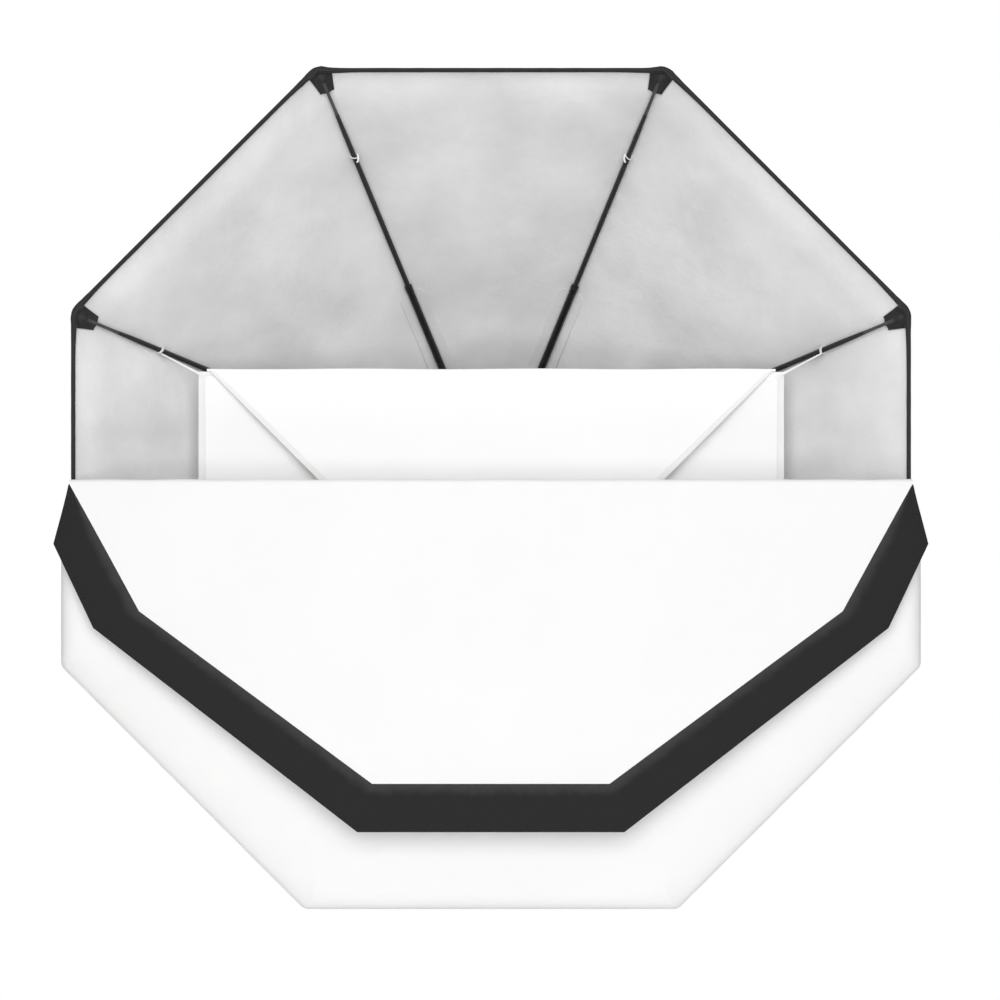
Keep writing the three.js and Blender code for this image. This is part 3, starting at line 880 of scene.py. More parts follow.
@dataclass
class Rim:
    """Bound front edge, its corner pockets, and the loop strip behind it."""

    bench: Bench
    finishes: Finishes
    shell: Shell
    level_apothem: float = 0.4510
    upright_apothem: float = 0.4520
    slanted_apothem: float = 0.4543
    level_bulge: float = 0.0030
    bulge: float = 0.0007
    bulge_reach: float = 0.015
    fillet: float = 0.009
    front: float = -0.366
    back: float = -0.3596
    roll: float = 0.0046
    corner_roll: float = 0.0070
    corner_fade: float = 0.028
    pocket_wing: float = 0.0138
    pocket_depth: float = 0.0225
    rim_speed: float = 0.534

    def apothem(self, side: int) -> float:
        """Distance from the axis to one side of the rim."""
        if side % 2:
            return self.slanted_apothem
        return self.level_apothem if side % 4 == 2 else self.upright_apothem

    def corner(self, side: int) -> np.ndarray:
        """Corner between a side and the next one, as x and z."""
        rows, reach = [], []
        for k in (side, side + 1):
            angle = k * 2 * HALF_STEP
            rows.append([math.cos(angle), math.sin(angle)])
            reach.append(self.apothem(k % SIDES))
        return np.linalg.solve(np.array(rows), np.array(reach))

    def edge_path(self, steps: int = 34) -> tuple[np.ndarray, np.ndarray, np.ndarray]:
        """Outer edge of the rim, pushed out a little by the rod at each corner.

        Args:
            steps: Points along one straight side.

        Returns:
            Points, outward directions and distances to the nearest corner.
        """
        points, outs, away = [], [], []
        for side in range(SIDES):
            angle = side * 2 * HALF_STEP
            radial = np.array([math.cos(angle), math.sin(angle)])
            start, end = self.corner((side - 1) % SIDES), self.corner(side)
            length = float(np.linalg.norm(end - start))
            ease = (1 - np.cos(np.linspace(0, math.pi, steps))) / 2
            bulge = self.level_bulge if side % 4 == 2 else self.bulge
            for place in self.fillet + (length - 2 * self.fillet) * ease:
                near = min(place, length - place)
                push = bulge * math.exp(-(near / self.bulge_reach) ** 2)
                points.append(start + (end - start) * place / length + radial * push)
                outs.append(radial)
                away.append(near)
            ahead = self.corner((side + 1) % SIDES) - end
            ahead /= np.linalg.norm(ahead)
            first = points[-1]
            next_bulge = self.level_bulge if (side + 1) % 4 == 2 else self.bulge
            next_out = np.array([math.cos(angle + 2 * HALF_STEP), math.sin(angle + 2 * HALF_STEP)])
            push = next_bulge * math.exp(-(self.fillet / self.bulge_reach) ** 2)
            last = end + ahead * self.fillet + next_out * push
            knee = end + (radial + next_out) * (bulge + next_bulge) / 4
            for share in (0.2, 0.4, 0.6, 0.8):
                turn = angle + share * 2 * HALF_STEP
                points.append((1 - share) ** 2 * first + 2 * share * (1 - share) * knee
                              + share ** 2 * last)
                outs.append(np.array([math.cos(turn), math.sin(turn)]))
                away.append(abs(share - 0.5) * self.fillet)
        return np.array(points), np.array(outs), np.array(away)

    def binding_width(self, away: np.ndarray) -> np.ndarray:
        """Width of the binding at set distances from the nearest corner."""
        return self.roll + (self.corner_roll - self.roll) * np.exp(-(away / self.corner_fade) ** 2)

    def build_binding(self) -> None:
        """Rolls the black binding round the rim."""
        path, outs, away = self.edge_path()
        turns = np.linspace(0, 2 * math.pi, 14, endpoint=False)
        middle = (self.front + self.back) / 2
        half_deep = (self.back - self.front) / 2 + 0.0004
        width = self.binding_width(away)
        square = (np.abs(np.cos(turns)) ** 0.6 * np.sign(np.cos(turns)),
                  np.abs(np.sin(turns)) ** 0.6 * np.sign(np.sin(turns)))
        grid = np.empty((len(turns), len(path), 3))
        length = along_path(np.vstack([path, path[:1]]))[:-1]
        pinch = 1 - 0.06 * np.sin(length * 2 * math.pi / 0.021) ** 2
        for row in range(len(turns)):
            radial = (square[0][row] * pinch - 1) * width / 2
            grid[row, :, 0] = path[:, 0] + outs[:, 0] * radial
            grid[row, :, 2] = path[:, 1] + outs[:, 1] * radial
            grid[row, :, 1] = middle + square[1][row] * half_deep
        closed = np.concatenate([grid, grid[:1]], axis=0)
        around = np.linspace(0, 0.026, len(turns) + 1)
        uv = np.stack(np.broadcast_arrays(around[:, None], length[None, :]), axis=-1)
        piece = self.tube("rim_tape", closed, uv)
        self.bench.register(piece, self.finishes.binding, Body.BOX, "black_webbing", ["rim_binding"])

    def tube(self, name: str, grid: np.ndarray, uv: np.ndarray) -> bpy.types.Object:
        """Closes a grid whose last row repeats the first and whose columns form a ring.

        Args:
            name: The piece's name.
            grid: Rows by columns by three.
            uv: Rows by columns by two, in metres.

        Returns:
            The new object.
        """
        piece = self.bench.link(name, self.bench.grid_mesh(name, grid, uv, ring=True))
        self.bench.outward(piece)
        self.bench.smooth(piece, 50.0)
        return piece

    def build_binding_stitches(self) -> None:
        """Sews the binding down along its inner edge."""
        path, outs, away = self.edge_path()
        width = self.binding_width(away)
        inward = path - outs * (width - 0.0011)[:, None]
        ring = np.stack([inward[:, 0], np.full(len(path), self.front - 0.0003), inward[:, 1]], axis=1)
        ring = np.vstack([ring, ring[:1]])
        normals = np.tile([0.0, -1.0, 0.0], (len(ring), 1))
        thread = self.bench.stitches("binding_stitches", [(ring, normals)])
        self.bench.register(thread, self.finishes.black_thread, Body.BOX, "black_webbing")

    def build_pockets(self) -> None:
        """Folds a nylon pocket over each rod tip."""
        for index in range(SIDES):
            grid, uv, inward = self.pocket_grid(index)
            piece = self.bench.sheet(f"pocket_{index + 1}", grid, uv, 0.0011)
            node = f"corner_pocket_{index + 1}"
            self.bench.register(piece, self.finishes.nylon, Body.BOX, "black_webbing", [node])
            rows = []
            for column in (2, grid.shape[1] - 3):
                path = grid[3:, column] + inward * 0.0007
                rows.append((path, np.tile(inward, (len(path), 1))))
            for first, last in ((2, 11), (grid.shape[1] - 11, grid.shape[1] - 2)):
                path = grid[-3, first:last] + inward * 0.0007
                rows.append((path, np.tile(inward, (len(path), 1))))
            thread = self.bench.stitches(f"pocket_stitches_{index + 1}", rows, 0.0022, 0.0030)
            self.bench.register(thread, self.finishes.black_thread, Body.BOX, "black_webbing")

    def pocket_grid(self, index: int) -> tuple[np.ndarray, np.ndarray, np.ndarray]:
        """Lays one pocket over a corner, a wing along each of the two sides.

        Args:
            index: Which corner.

        Returns:
            Points, UVs and the direction into the softbox.
        """
        skin = self.shell.skin
        down = np.linspace(0, 1, 15)
        wing = np.linspace(0, 1, 16)
        straight = 1.0 - down * self.pocket_depth / self.rim_speed
        radius, _, out, back = skin.place(straight, 0.0)
        corner = radius[0] * math.sin(HALF_STEP)
        grids = []
        for sign in (1, -1):
            half = (radius * math.sin(HALF_STEP))[:, None]
            across = half + (corner - self.pocket_wing - half) * wing[None, :]
            ridge = np.exp(-((half - across) / 0.0050) ** 2)
            mouth = np.clip((down - 0.10) / 0.3, 0, 1)[:, None] ** 0.7
            height = 0.0014 + 0.0056 * ridge * mouth
            t = 1.0 - down[:, None] * self.pocket_depth / self.rim_speed
            half_there = skin.place(t, 0.0)[0] * math.sin(HALF_STEP)
            panel = index if sign > 0 else index + 1
            u = sign * np.minimum((across + (half_there - half) * ridge) / half_there, 1.0)
            grids.append(self.shell.surface(t, u, -height, panel * 2 * HALF_STEP))
        grid = np.concatenate([grids[0][:, ::-1], grids[1][:, 1:]], axis=1)
        lip = np.clip(1 - down / 0.16, 0, 1) ** 1.3
        grid[..., 1] -= (0.0072 * lip)[:, None]
        places = np.concatenate([-wing[::-1], wing[1:]])
        uv = np.stack(np.broadcast_arrays(places[None, :] * self.pocket_wing,
                                          down[:, None] * self.pocket_depth), axis=-1)
        inward = turn_about_axis(np.array([[-out[7], -back[7], 0.0]]), rod_angle(index))[0]
        return grid, uv, inward

    def belt(self, t: np.ndarray, lift: float, sides: Sequence[int],
             columns: int) -> tuple[np.ndarray, np.ndarray]:
        """Strip that follows the shell round several sides.

        Args:
            t: Places from the ring to the rim, one for each row.
            lift: Distance outwards from the shell's inner face.
            sides: The sides it runs over, in order.
            columns: Columns on each side.

        Returns:
            Points and UVs.
        """
        u = np.linspace(-1, 1, columns, endpoint=False)[None, :]
        parts = [self.shell.surface(t[:, None], u, lift, side * 2 * HALF_STEP) for side in sides]
        grid = np.concatenate(parts, axis=1)
        length = along_path(grid[-1])
        deep = along_path(grid[:, 0])
        return grid, np.stack(np.broadcast_arrays(length[None, :], deep[:, None]), axis=-1)

    def build_loop_strip(self) -> None:
        """Sews the brushed loop strip round the outside of the rim."""
        t = np.linspace(0.912, 1.001, 6)
        grid, uv = self.belt(t, 0.0024, range(SIDES), 20)
        piece = self.bench.sheet("loop_band", grid, uv, 0.0012, ring=True)
        self.bench.register(piece, self.finishes.loop, Body.BOX, "hook_tape", ["loop_strip"])
        rows = []
        for row in (0.915, 0.993):
            path, _ = self.belt(np.array([row]), 0.0033, range(SIDES), 20)
            ring = np.vstack([path[0], path[0][:1]])
            inner, _ = self.belt(np.array([row]), 0.0, range(SIDES), 20)
            normals = np.vstack([path[0] - inner[0], (path[0] - inner[0])[:1]])
            rows.append((ring, normals / np.linalg.norm(normals, axis=1, keepdims=True)))
        thread = self.bench.stitches("loop_band_stitches", rows)
        self.bench.register(thread, self.finishes.black_thread, Body.BOX, "black_webbing")

    def build(self) -> None:
        """Builds the rim."""
        self.build_binding()
        self.build_binding_stitches()
        self.build_pockets()
        self.build_loop_strip()


# ---- rods and ring ------------------------------------------------------------------------------


@dataclass
class Rods:
    """Eight sprung rods, each a tipped front rod plugged into a rear tube."""

    bench: Bench
    finishes: Finishes
    start: Vector = field(default_factory=lambda: Vector((0.080, -0.038, 0.0)))
    bow: Vector = field(default_factory=lambda: Vector((0.311, -0.154, 0.0)))
    end: Vector = field(default_factory=lambda: Vector((0.472, -0.357, 0.0)))
    rod_radius: float = 0.003
    tube_radius: float = 0.0043
    joint_at: float = 0.395

    def point(self, a: float, b: float | None = None) -> Vector:
        """Point of the rod's curve, or its two-argument form."""
        b = a if b is None else b
        return (self.start * (1 - a) * (1 - b) + self.bow * ((1 - a) * b + a * (1 - b))
                + self.end * (a * b))

    def bent_bar(self, name: str, stations: Sequence[tuple[float, float]],
                 radius: float) -> bpy.types.Object:
        """Bends a round bar along the rod's curve.

        Args:
            name: The piece's name.
            stations: Place on the curve and share of the radius there, in order.
            radius: Full radius.

        Returns:
            The bar as a mesh.
        """
        bpy.ops.object.select_all(action="DESELECT")
        bpy.ops.curve.primitive_bezier_curve_add(location=(0, 0, 0))
        bar = bpy.context.object
        bar.name = name
        curve = bar.data
        curve.dimensions = "3D"
        curve.bevel_depth = radius
        curve.bevel_resolution = 4
        curve.use_fill_caps = True
        curve.resolution_u = 14
        spline = curve.splines[0]
        spline.bezier_points.add(len(stations) - 2)
        for index, (t, share) in enumerate(stations):
            before = stations[max(index - 1, 0)][0]
            after = stations[min(index + 1, len(stations) - 1)][0]
            knot = spline.bezier_points[index]
            knot.handle_left_type = knot.handle_right_type = "FREE"
            here = self.point(t)
            knot.co = here
            knot.handle_left = here + (self.point(before, t) - here) * 2 / 3
            knot.handle_right = here + (self.point(t, after) - here) * 2 / 3
            knot.radius = share
        bpy.ops.object.convert(target="MESH")
        bar = bpy.context.object
        self.bench.outward(bar)
        self.bench.smooth(bar, 40.0)
        return bar

    def ferrule(self) -> bpy.types.Object:
        """Turns the crimped ferrule at the tube's mouth."""
        direction = (self.point(self.joint_at + 0.01) - self.point(self.joint_at - 0.01)).normalized()
        turn = direction.to_track_quat("Z", "Y").to_euler()
        bpy.ops.object.select_all(action="DESELECT")
        bpy.ops.mesh.primitive_cylinder_add(
            vertices=28, radius=self.tube_radius + 0.0002, depth=0.010,
            location=self.point(self.joint_at - 0.008), rotation=turn,
        )
        piece = bpy.context.object
        bpy.ops.object.mode_set(mode="EDIT")
        bpy.ops.mesh.select_mode(type="FACE")
        bpy.ops.mesh.select_all(action="DESELECT")
        work = bmesh.from_edit_mesh(piece.data)
        for face in work.faces:
            face.select_set(len(face.verts) > 4)
        bmesh.update_edit_mesh(piece.data)
        bpy.ops.mesh.inset(thickness=0.0007, depth=0.0)
        bpy.ops.mesh.inset(thickness=0.0004, depth=-0.0008)
        bpy.ops.object.mode_set(mode="OBJECT")
        bpy.ops.object.transform_apply(location=True, rotation=True, scale=True)
        self.bench.apply(piece, "BEVEL", width=0.0004, segments=2, limit_method="ANGLE",
                         angle_limit=math.radians(40.0))
        self.bench.smooth(piece, 40.0)
        return piece

    def copies(self, master: bpy.types.Object, name: str) -> list[bpy.types.Object]:
        """Copies a piece to all eight corners, each with its own mesh."""
        made = []
        for index in range(SIDES):
            mesh = master.data.copy()
            mesh.transform(Matrix.Rotation(-rod_angle(index), 4, "Y"))
            made.append(self.bench.link(f"{name}_{index + 1}", mesh))
        bpy.data.objects.remove(master)
        return made

    def build(self) -> None:
        """Builds every rod, tip, tube and ferrule."""
        front = self.bent_bar("front", [(0.37, 1.0), (0.65, 1.0), (0.84, 0.94), (0.905, 0.72)],
                              self.rod_radius)
        tip = self.bent_bar("tip", [(0.895, 0.70), (0.93, 0.62), (0.997, 0.56)],
                            self.rod_radius)
        tube = self.bent_bar("tube", [(0.006, 1.0), (0.2, 1.0), (0.395, 0.97)], self.tube_radius)
        for index, piece in enumerate(self.copies(front, "front_rod")):
            self.bench.register(piece, self.finishes.fibreglass, Body.BOX, "fibreglass",
                                [f"rod_{index + 1}"])
        for piece in self.copies(tip, "rod_tip"):
            self.bench.register(piece, self.finishes.bare_tip, Body.BOX, "fibreglass")
        for index, piece in enumerate(self.copies(tube, "rear_tube")):
            self.bench.register(piece, self.finishes.enamel, Body.BOX, "tube_steel",
                                [f"rod_tube_{index + 1}"])
        for piece in self.copies(self.ferrule(), "rod_ferrule"):
            self.bench.register(piece, self.finishes.enamel, Body.BOX, "tube_steel")


@dataclass
class RingAssembly:
    """Speed ring: bayonet ring, swivel ring with sockets, keeper, screws and lock."""

    bench: Bench
    finishes: Finishes
    hem_radius: float = 0.0786
    flat_radius: float = 0.095
    gathers: int = 44

    def build_metal(self) -> None:
        """Finishes the ring's metal and moulded parts."""
        plan = [
            ("mount_ring", "bayonet_ring", 0.0005, self.finishes.zinc, Body.MOUNT, "ring_steel"),
            ("keeper_ring", "keeper_plate", 0.0005, self.finishes.powder, Body.MOUNT, "cast_alloy"),
            ("swivel_ring", "socket_ring", 0.0007, self.finishes.powder, Body.BOX, "cast_alloy"),
            ("lock_knob", "lock_handwheel", 0.0005, self.finishes.moulded, Body.LOCK, "knob_plastic"),
            ("lock_screw", "lock_stud", 0.0004, self.finishes.zinc, Body.LOCK, "ring_steel"),
        ]
        for node, name, bevel, finish, body, slot in plan:
            piece = self.bench.refined(node, name, bevel)
            self.bench.register(piece, finish, body, slot, [node])

    def build_screws(self) -> None:
        """Finishes the keeper screws with a cross recess in each head."""
        for number in range(1, 5):
            node = f"keeper_screw_{number}"
            piece = self.bench.refined(node, f"crosshead_screw_{number}", 0.0003)
            low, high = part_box(node)
            centre = Vector(((low[0] + high[0]) / 2, low[1], (low[2] + high[2]) / 2))
            for turn in (0.0, math.pi / 2):
                self.cut_slot(piece, centre, turn)
            self.bench.smooth(piece, 32.0)
            self.bench.register(piece, self.finishes.zinc, Body.MOUNT, "ring_steel", [node])

    def cut_slot(self, screw: bpy.types.Object, centre: Vector, turn: float) -> None:
        """Cuts one slot of the cross recess."""
        bpy.ops.object.select_all(action="DESELECT")
        bpy.ops.mesh.primitive_cube_add(size=1.0, location=centre, rotation=(0.0, turn, 0.0))
        cutter = bpy.context.object
        cutter.scale = (0.0044, 0.0024, 0.0010)
        self.bench.only(cutter)
        bpy.ops.object.transform_apply(location=True, rotation=True, scale=True)
        self.bench.apply(screw, "BOOLEAN", operation="DIFFERENCE", object=cutter, solver="EXACT")
        bpy.data.objects.remove(cutter)

    def build_collar(self) -> None:
        """Gathers the shell's rear hem round the swivel ring."""
        angles = np.linspace(0, 2 * math.pi, 352, endpoint=False)
        inner, inner_depth = 0.1112, -0.0438
        profile = [(0.0, -0.0272), (0.0003, -0.0240), (0.0018, -0.0226), (0.0036, -0.0238),
                   (0.0056, -0.0262)]
        s = np.linspace(0, 1, 14)[1:]
        local = (angles + HALF_STEP) % (2 * HALF_STEP) - HALF_STEP
        corner_local = angles % (2 * HALF_STEP) - HALF_STEP
        octagon = inner * math.cos(HALF_STEP) / np.cos(np.where(np.abs(local) < HALF_STEP, local,
                                                              corner_local))
        rows = []
        for rise, depth in profile:
            wave = 0.0007 * (0.4 + np.cos(self.gathers * angles))
            rows.append((self.hem_radius + rise + wave, np.full_like(angles, depth)))
        last = profile[-1]
        for share in s:
            blend = share ** 1.1
            wave = 0.0011 * (1 - share) ** 1.5 * np.cos(self.gathers * angles)
            radius = (self.hem_radius + last[0]) * (1 - blend) + octagon * blend
            depth = last[1] * (1 - share) + inner_depth * share + wave
            rows.append((radius, depth))
        grid = np.stack([
            np.stack([r * np.cos(angles), d, r * np.sin(angles)], axis=-1) for r, d in rows
        ])
        deep = along_path(grid[:, 0])
        uv = np.stack(np.broadcast_arrays(angles[None, :] * self.flat_radius, deep[:, None]), axis=-1)
        piece = self.bench.sheet("gathered_collar", grid, uv, 0.0007, ring=True)
        self.bench.register(piece, self.finishes.nylon, Body.BOX, "black_webbing", ["rear_collar"])

    def build(self) -> None:
        """Builds the ring assembly."""
        self.build_metal()
        self.build_screws()
        self.build_collar()


# ---- inner baffle -------------------------------------------------------------------------------


@dataclass
class Baffle:
    """White inner baffle with its upper part folded down, and its elastic ties."""

    bench: Bench
    finishes: Finishes
    rods: Rods
    apothem: float = 0.324
    fold_z: float = 0.128
    flap_half: float = 0.312
    flap_drop: float = 0.160
    tilt: float = math.radians(6.0)
    tie_at: float = 0.78
    cloth: float = 0.0005

    @property
    def depth(self) -> float:
        """Depth of the baffle's plane."""
        return self.rods.point(self.tie_at).y

    def fan(self, outline: np.ndarray, centre: np.ndarray, rings: int,
            normal: np.ndarray, relief: Ripples, crown: float) -> tuple[np.ndarray, np.ndarray]:
        """Fills an open outline with rings that shrink towards a centre.

        Args:
            outline: Points of the edge.
            centre: Where the rings shrink to.
            rings: Number of rings.
            normal: Direction of the cloth's relief.
            relief: Waves laid over it.
            crown: Height of the middle over the edge.

        Returns:
            Points and UVs.
        """
        share = np.linspace(0, 1, rings)[:, None, None]
        grid = centre + (outline[None] - centre) * share
        flat = grid[..., [0, 2]]
        height = relief.at(flat[..., 0], flat[..., 1]) * (1 - share[..., 0] ** 6)
        height = height + crown * (1 - share[..., 0] ** 2)
        return grid + normal * height[..., None], flat

    def lower_outline(self) -> np.ndarray:
        """Edge of the lower part, closed along the fold."""
        corner = self.apothem * math.tan(HALF_STEP)
        right = [(self.apothem, self.fold_z), (self.apothem, -corner), (corner, -self.apothem)]
        corners = right + [(-x, z) for x, z in reversed(right)] + [right[0]]
        points = []
        for (ax, az), (bx, bz) in zip(corners, corners[1:]):
            count = max(4, int(math.dist((ax, az), (bx, bz)) / 0.012))
            for share in np.linspace(0, 1, count, endpoint=False):
                points.append((ax + (bx - ax) * share, self.depth, az + (bz - az) * share))
        return np.array(points)

    def build_lower(self) -> None:
        """Builds the stretched lower part and its hem."""
        outline = self.lower_outline()
        centre = np.array([0.0, self.depth, -0.09])
        grid, uv = self.fan(outline, centre, 26, np.array([0.0, -1.0, 0.0]),
                            Ripples(7, 0.0008, 0.16, 0.3), -0.002)
        piece = self.bench.sheet("baffle_cloth", grid, uv, self.cloth, ring=True, pole=True)
        self.bench.register(piece, self.finishes.baffle, Body.BOX, "white_cloth", ["baffle_lower"])
        self.edge_hem("baffle_hem", outline[:-1], centre, Body.BOX)

    def edge_hem(self, name: str, path: np.ndarray, centre: np.ndarray, body: Body) -> None:
        """Lays a folded hem and its stitches along an edge.

        Args:
            name: The piece's name.
            path: The edge.
            centre: Middle of the cloth, which the hem turns towards.
            body: Body that the cloth is on.
        """
        tilt = self.tilt if body is Body.INNER_FLAP else 0.0
        front = np.array([0.0, -math.cos(tilt), math.sin(tilt)])
        inward = centre - path
        inward /= np.linalg.norm(inward, axis=1, keepdims=True)
        across = np.array([-0.0006, 0.0012, 0.0040, 0.0074, 0.0080])
        rise = np.array([0.0000, 0.0003, 0.0003, 0.0003, 0.0000])
        grid = (path[None] + inward[None] * across[:, None, None] + front * rise[:, None, None])
        uv = np.stack(np.broadcast_arrays(along_path(path)[None, :], across[:, None]), axis=-1)
        piece = self.bench.sheet(name, grid, uv, 0.0005)
        self.bench.register(piece, self.finishes.white_hem, body, "white_cloth")
        row = path + inward * 0.0062 + front * 0.0007
        thread = self.bench.stitches(f"{name}_stitches", [(row, np.tile(front, (len(row), 1)))])
        self.bench.register(thread, self.finishes.white_thread, body, "white_cloth")

    def hinge(self) -> np.ndarray:
        """Point on the fold's hinge line."""
        joint = next(j for j in frame["joints"] if j["name"] == "baffle_fold")
        return np.array(joint["pos_m"], dtype=float)

    def build_flap(self) -> None:
        """Builds the part that hangs from the fold."""
        hinge = self.hinge()
        down = np.array([0.0, -math.sin(self.tilt), -math.cos(self.tilt)])
        front = np.array([0.0, -math.cos(self.tilt), math.sin(self.tilt)])
        bottom = self.flap_half - self.flap_drop
        rows, columns = 30, 60
        v = np.linspace(0, 1, rows)[:, None]
        u = np.linspace(-1, 1, columns)[None, :]
        half = self.flap_half + (bottom - self.flap_half) * v
        x = u * half
        drop = v * self.flap_drop + 0 * u
        sag = 0.004 * v * (1 - v) * 4 + Ripples(12, 0.0010, 0.22, 0.5).at(x, drop) * v
        sag = sag + 0.0014 * np.exp(-drop / 0.02)
        grid = (hinge + down * (drop - 0.0005)[..., None] + front * (0.0008 + sag)[..., None]
                + np.stack([x, 0 * x, 0 * x], axis=-1))
        uv = np.stack([x, drop], axis=-1)
        piece = self.bench.sheet("baffle_flap_cloth", grid, uv, self.cloth)
        self.bench.register(piece, self.finishes.baffle, Body.INNER_FLAP, "white_cloth",
                            ["baffle_flap"])
        edge = np.vstack([grid[:, 0], grid[-1, 1:], grid[::-1, -1][1:]])
        centre = hinge + down * 0.5 * self.flap_drop
        self.edge_hem("baffle_flap_hem", edge, centre, Body.INNER_FLAP)

    def build_fold(self) -> None:
        """Rolls the cloth over between the lower part and the flap."""
        hinge = self.hinge()
        turns = np.linspace(-0.35, math.pi + 0.1, 15)
        radius = 0.0022
        middle = hinge + np.array([0.0, 0.0002, 0.0])
        x = np.linspace(-self.flap_half - 0.003, self.flap_half + 0.003, 70)
        grid = np.stack([
            np.stack([x, np.full_like(x, middle[1] + radius * math.cos(a)),
                      middle[2] + radius * math.sin(a) + 0.0004 * np.sin(x * 31.0)], axis=-1)
            for a in turns
        ])
        uv = np.stack(np.broadcast_arrays(x[None, :], (turns * radius)[:, None]), axis=-1)
        piece = self.bench.sheet("baffle_fold_roll", grid, uv, self.cloth)
        self.bench.register_bent(
            piece, self.finishes.baffle, (Body.BOX, Body.INNER_FLAP),
            (Vector(middle + [0, radius, 0]), Vector(middle - [0, radius, 0])), "white_cloth")

    def tie(self, index: int, loose: bool) -> None:
        """Loops one elastic tie round its rod.

        Args:
            index: Which rod.
            loose: Whether the tie hangs free of the baffle.
        """
        at = self.rods.point(self.tie_at)
        along = (self.rods.point(self.tie_at + 0.01) - at).normalized()
        out = Vector((-along.y, along.x, 0.0))
        turns = np.linspace(0, 2 * math.pi, 25)
        width, slack = (0.0011, 0.0013) if loose else (0.0026, 0.0009)
        wide = np.linspace(-0.5, 0.5, 5) * width
        rod = self.rods.rod_radius + slack
        ring = np.array([
            [at + along * (w + slack * 1.5 * math.sin(a)) + out * (math.cos(a) * rod)
             + Vector((0, 0, math.sin(a) * rod)) for a in turns] for w in wide
        ])
        uv = np.stack(np.broadcast_arrays(wide[:, None], (turns * rod)[None, :]), axis=-1)
        loop = self.bench.sheet(f"tie_{index + 1}", turn_about_axis(ring, rod_angle(index)), uv,
                                0.0009)
        node = f"baffle_tie_{index + 1}"
        self.bench.register(loop, self.finishes.elastic, Body.BOX, "white_elastic", [node])
        strap = self.loose_strap(at, index) if loose else self.tight_strap(at, index)
        self.bench.register(strap, self.finishes.elastic, Body.BOX, "white_elastic")

    def tight_strap(self, at: Vector, index: int) -> bpy.types.Object:
        """Strap from the rod to the baffle's edge, just below its corner."""
        s = np.linspace(0, 1, 18)
        corner = self.apothem * TO_CORNER - 0.012
        beside = {0: -1.0, 3: 1.0}.get(index, 0.0)
        radius = (at.x - 0.0036) * (1 - s) + corner * s
        depth = at.y - 0.0012 - 0.0010 * np.sin(math.pi * s)
        side = beside * (0.0030 + 0.0052 * s)
        width = 0.0014 + 0.0022 * s ** 2
        return self.strap(f"tie_strap_{index + 1}", (radius, depth, side), width, s, index)

    def strap(self, name: str, path: tuple[np.ndarray, ...], width: np.ndarray,
              s: np.ndarray, index: int) -> bpy.types.Object:
        """Flat elastic strap beside one rod's radial plane.

        Args:
            name: The piece's name.
            path: Radius, depth and sideways distance along the strap.
            width: Width along the strap.
            s: Share of the way along it.
            index: Which rod.

        Returns:
            The strap.
        """
        radius, depth, side = path
        across = np.linspace(-0.5, 0.5, 5)
        points = np.stack([np.stack([radius, depth, side + width * a], axis=-1) for a in across])
        uv = np.stack(np.broadcast_arrays(across[:, None] * 0.007, s[None, :] * 0.045), axis=-1)
        return self.bench.sheet(name, turn_about_axis(points, rod_angle(index)), uv, 0.0009)

    def loose_strap(self, at: Vector, index: int) -> bpy.types.Object:
        """Short relaxed strap that curls down beside the rod."""
        s = np.linspace(0, 1, 14)
        across = np.linspace(-0.5, 0.5, 5) * 0.0018
        lean = 1.0 if index == 2 else -1.0
        start = turn_about_axis(np.array([[at.x, at.y - 0.0030, 0.0]]), rod_angle(index))[0]
        fall = 0.0100 * s
        curl = -0.004 * s ** 2
        aside = lean * (0.0040 + 0.0010 * np.sin(math.pi * s))
        points = np.stack([
            np.stack([start[0] + aside + w, start[1] + curl, start[2] + 0.002 - fall], axis=-1)
            for w in across
        ])
        uv = np.stack(np.broadcast_arrays(across[:, None], fall[None, :]), axis=-1)
        return self.bench.sheet(f"tie_strap_{index + 1}", points, uv, 0.0008)

    def build(self) -> None:
        """Builds the baffle, its fold and its ties."""
        self.build_lower()
        self.build_flap()
        self.build_fold()
        for index in range(SIDES):
            self.tie(index, index in (1, 2))


# ---- front diffuser -----------------------------------------------------------------------------


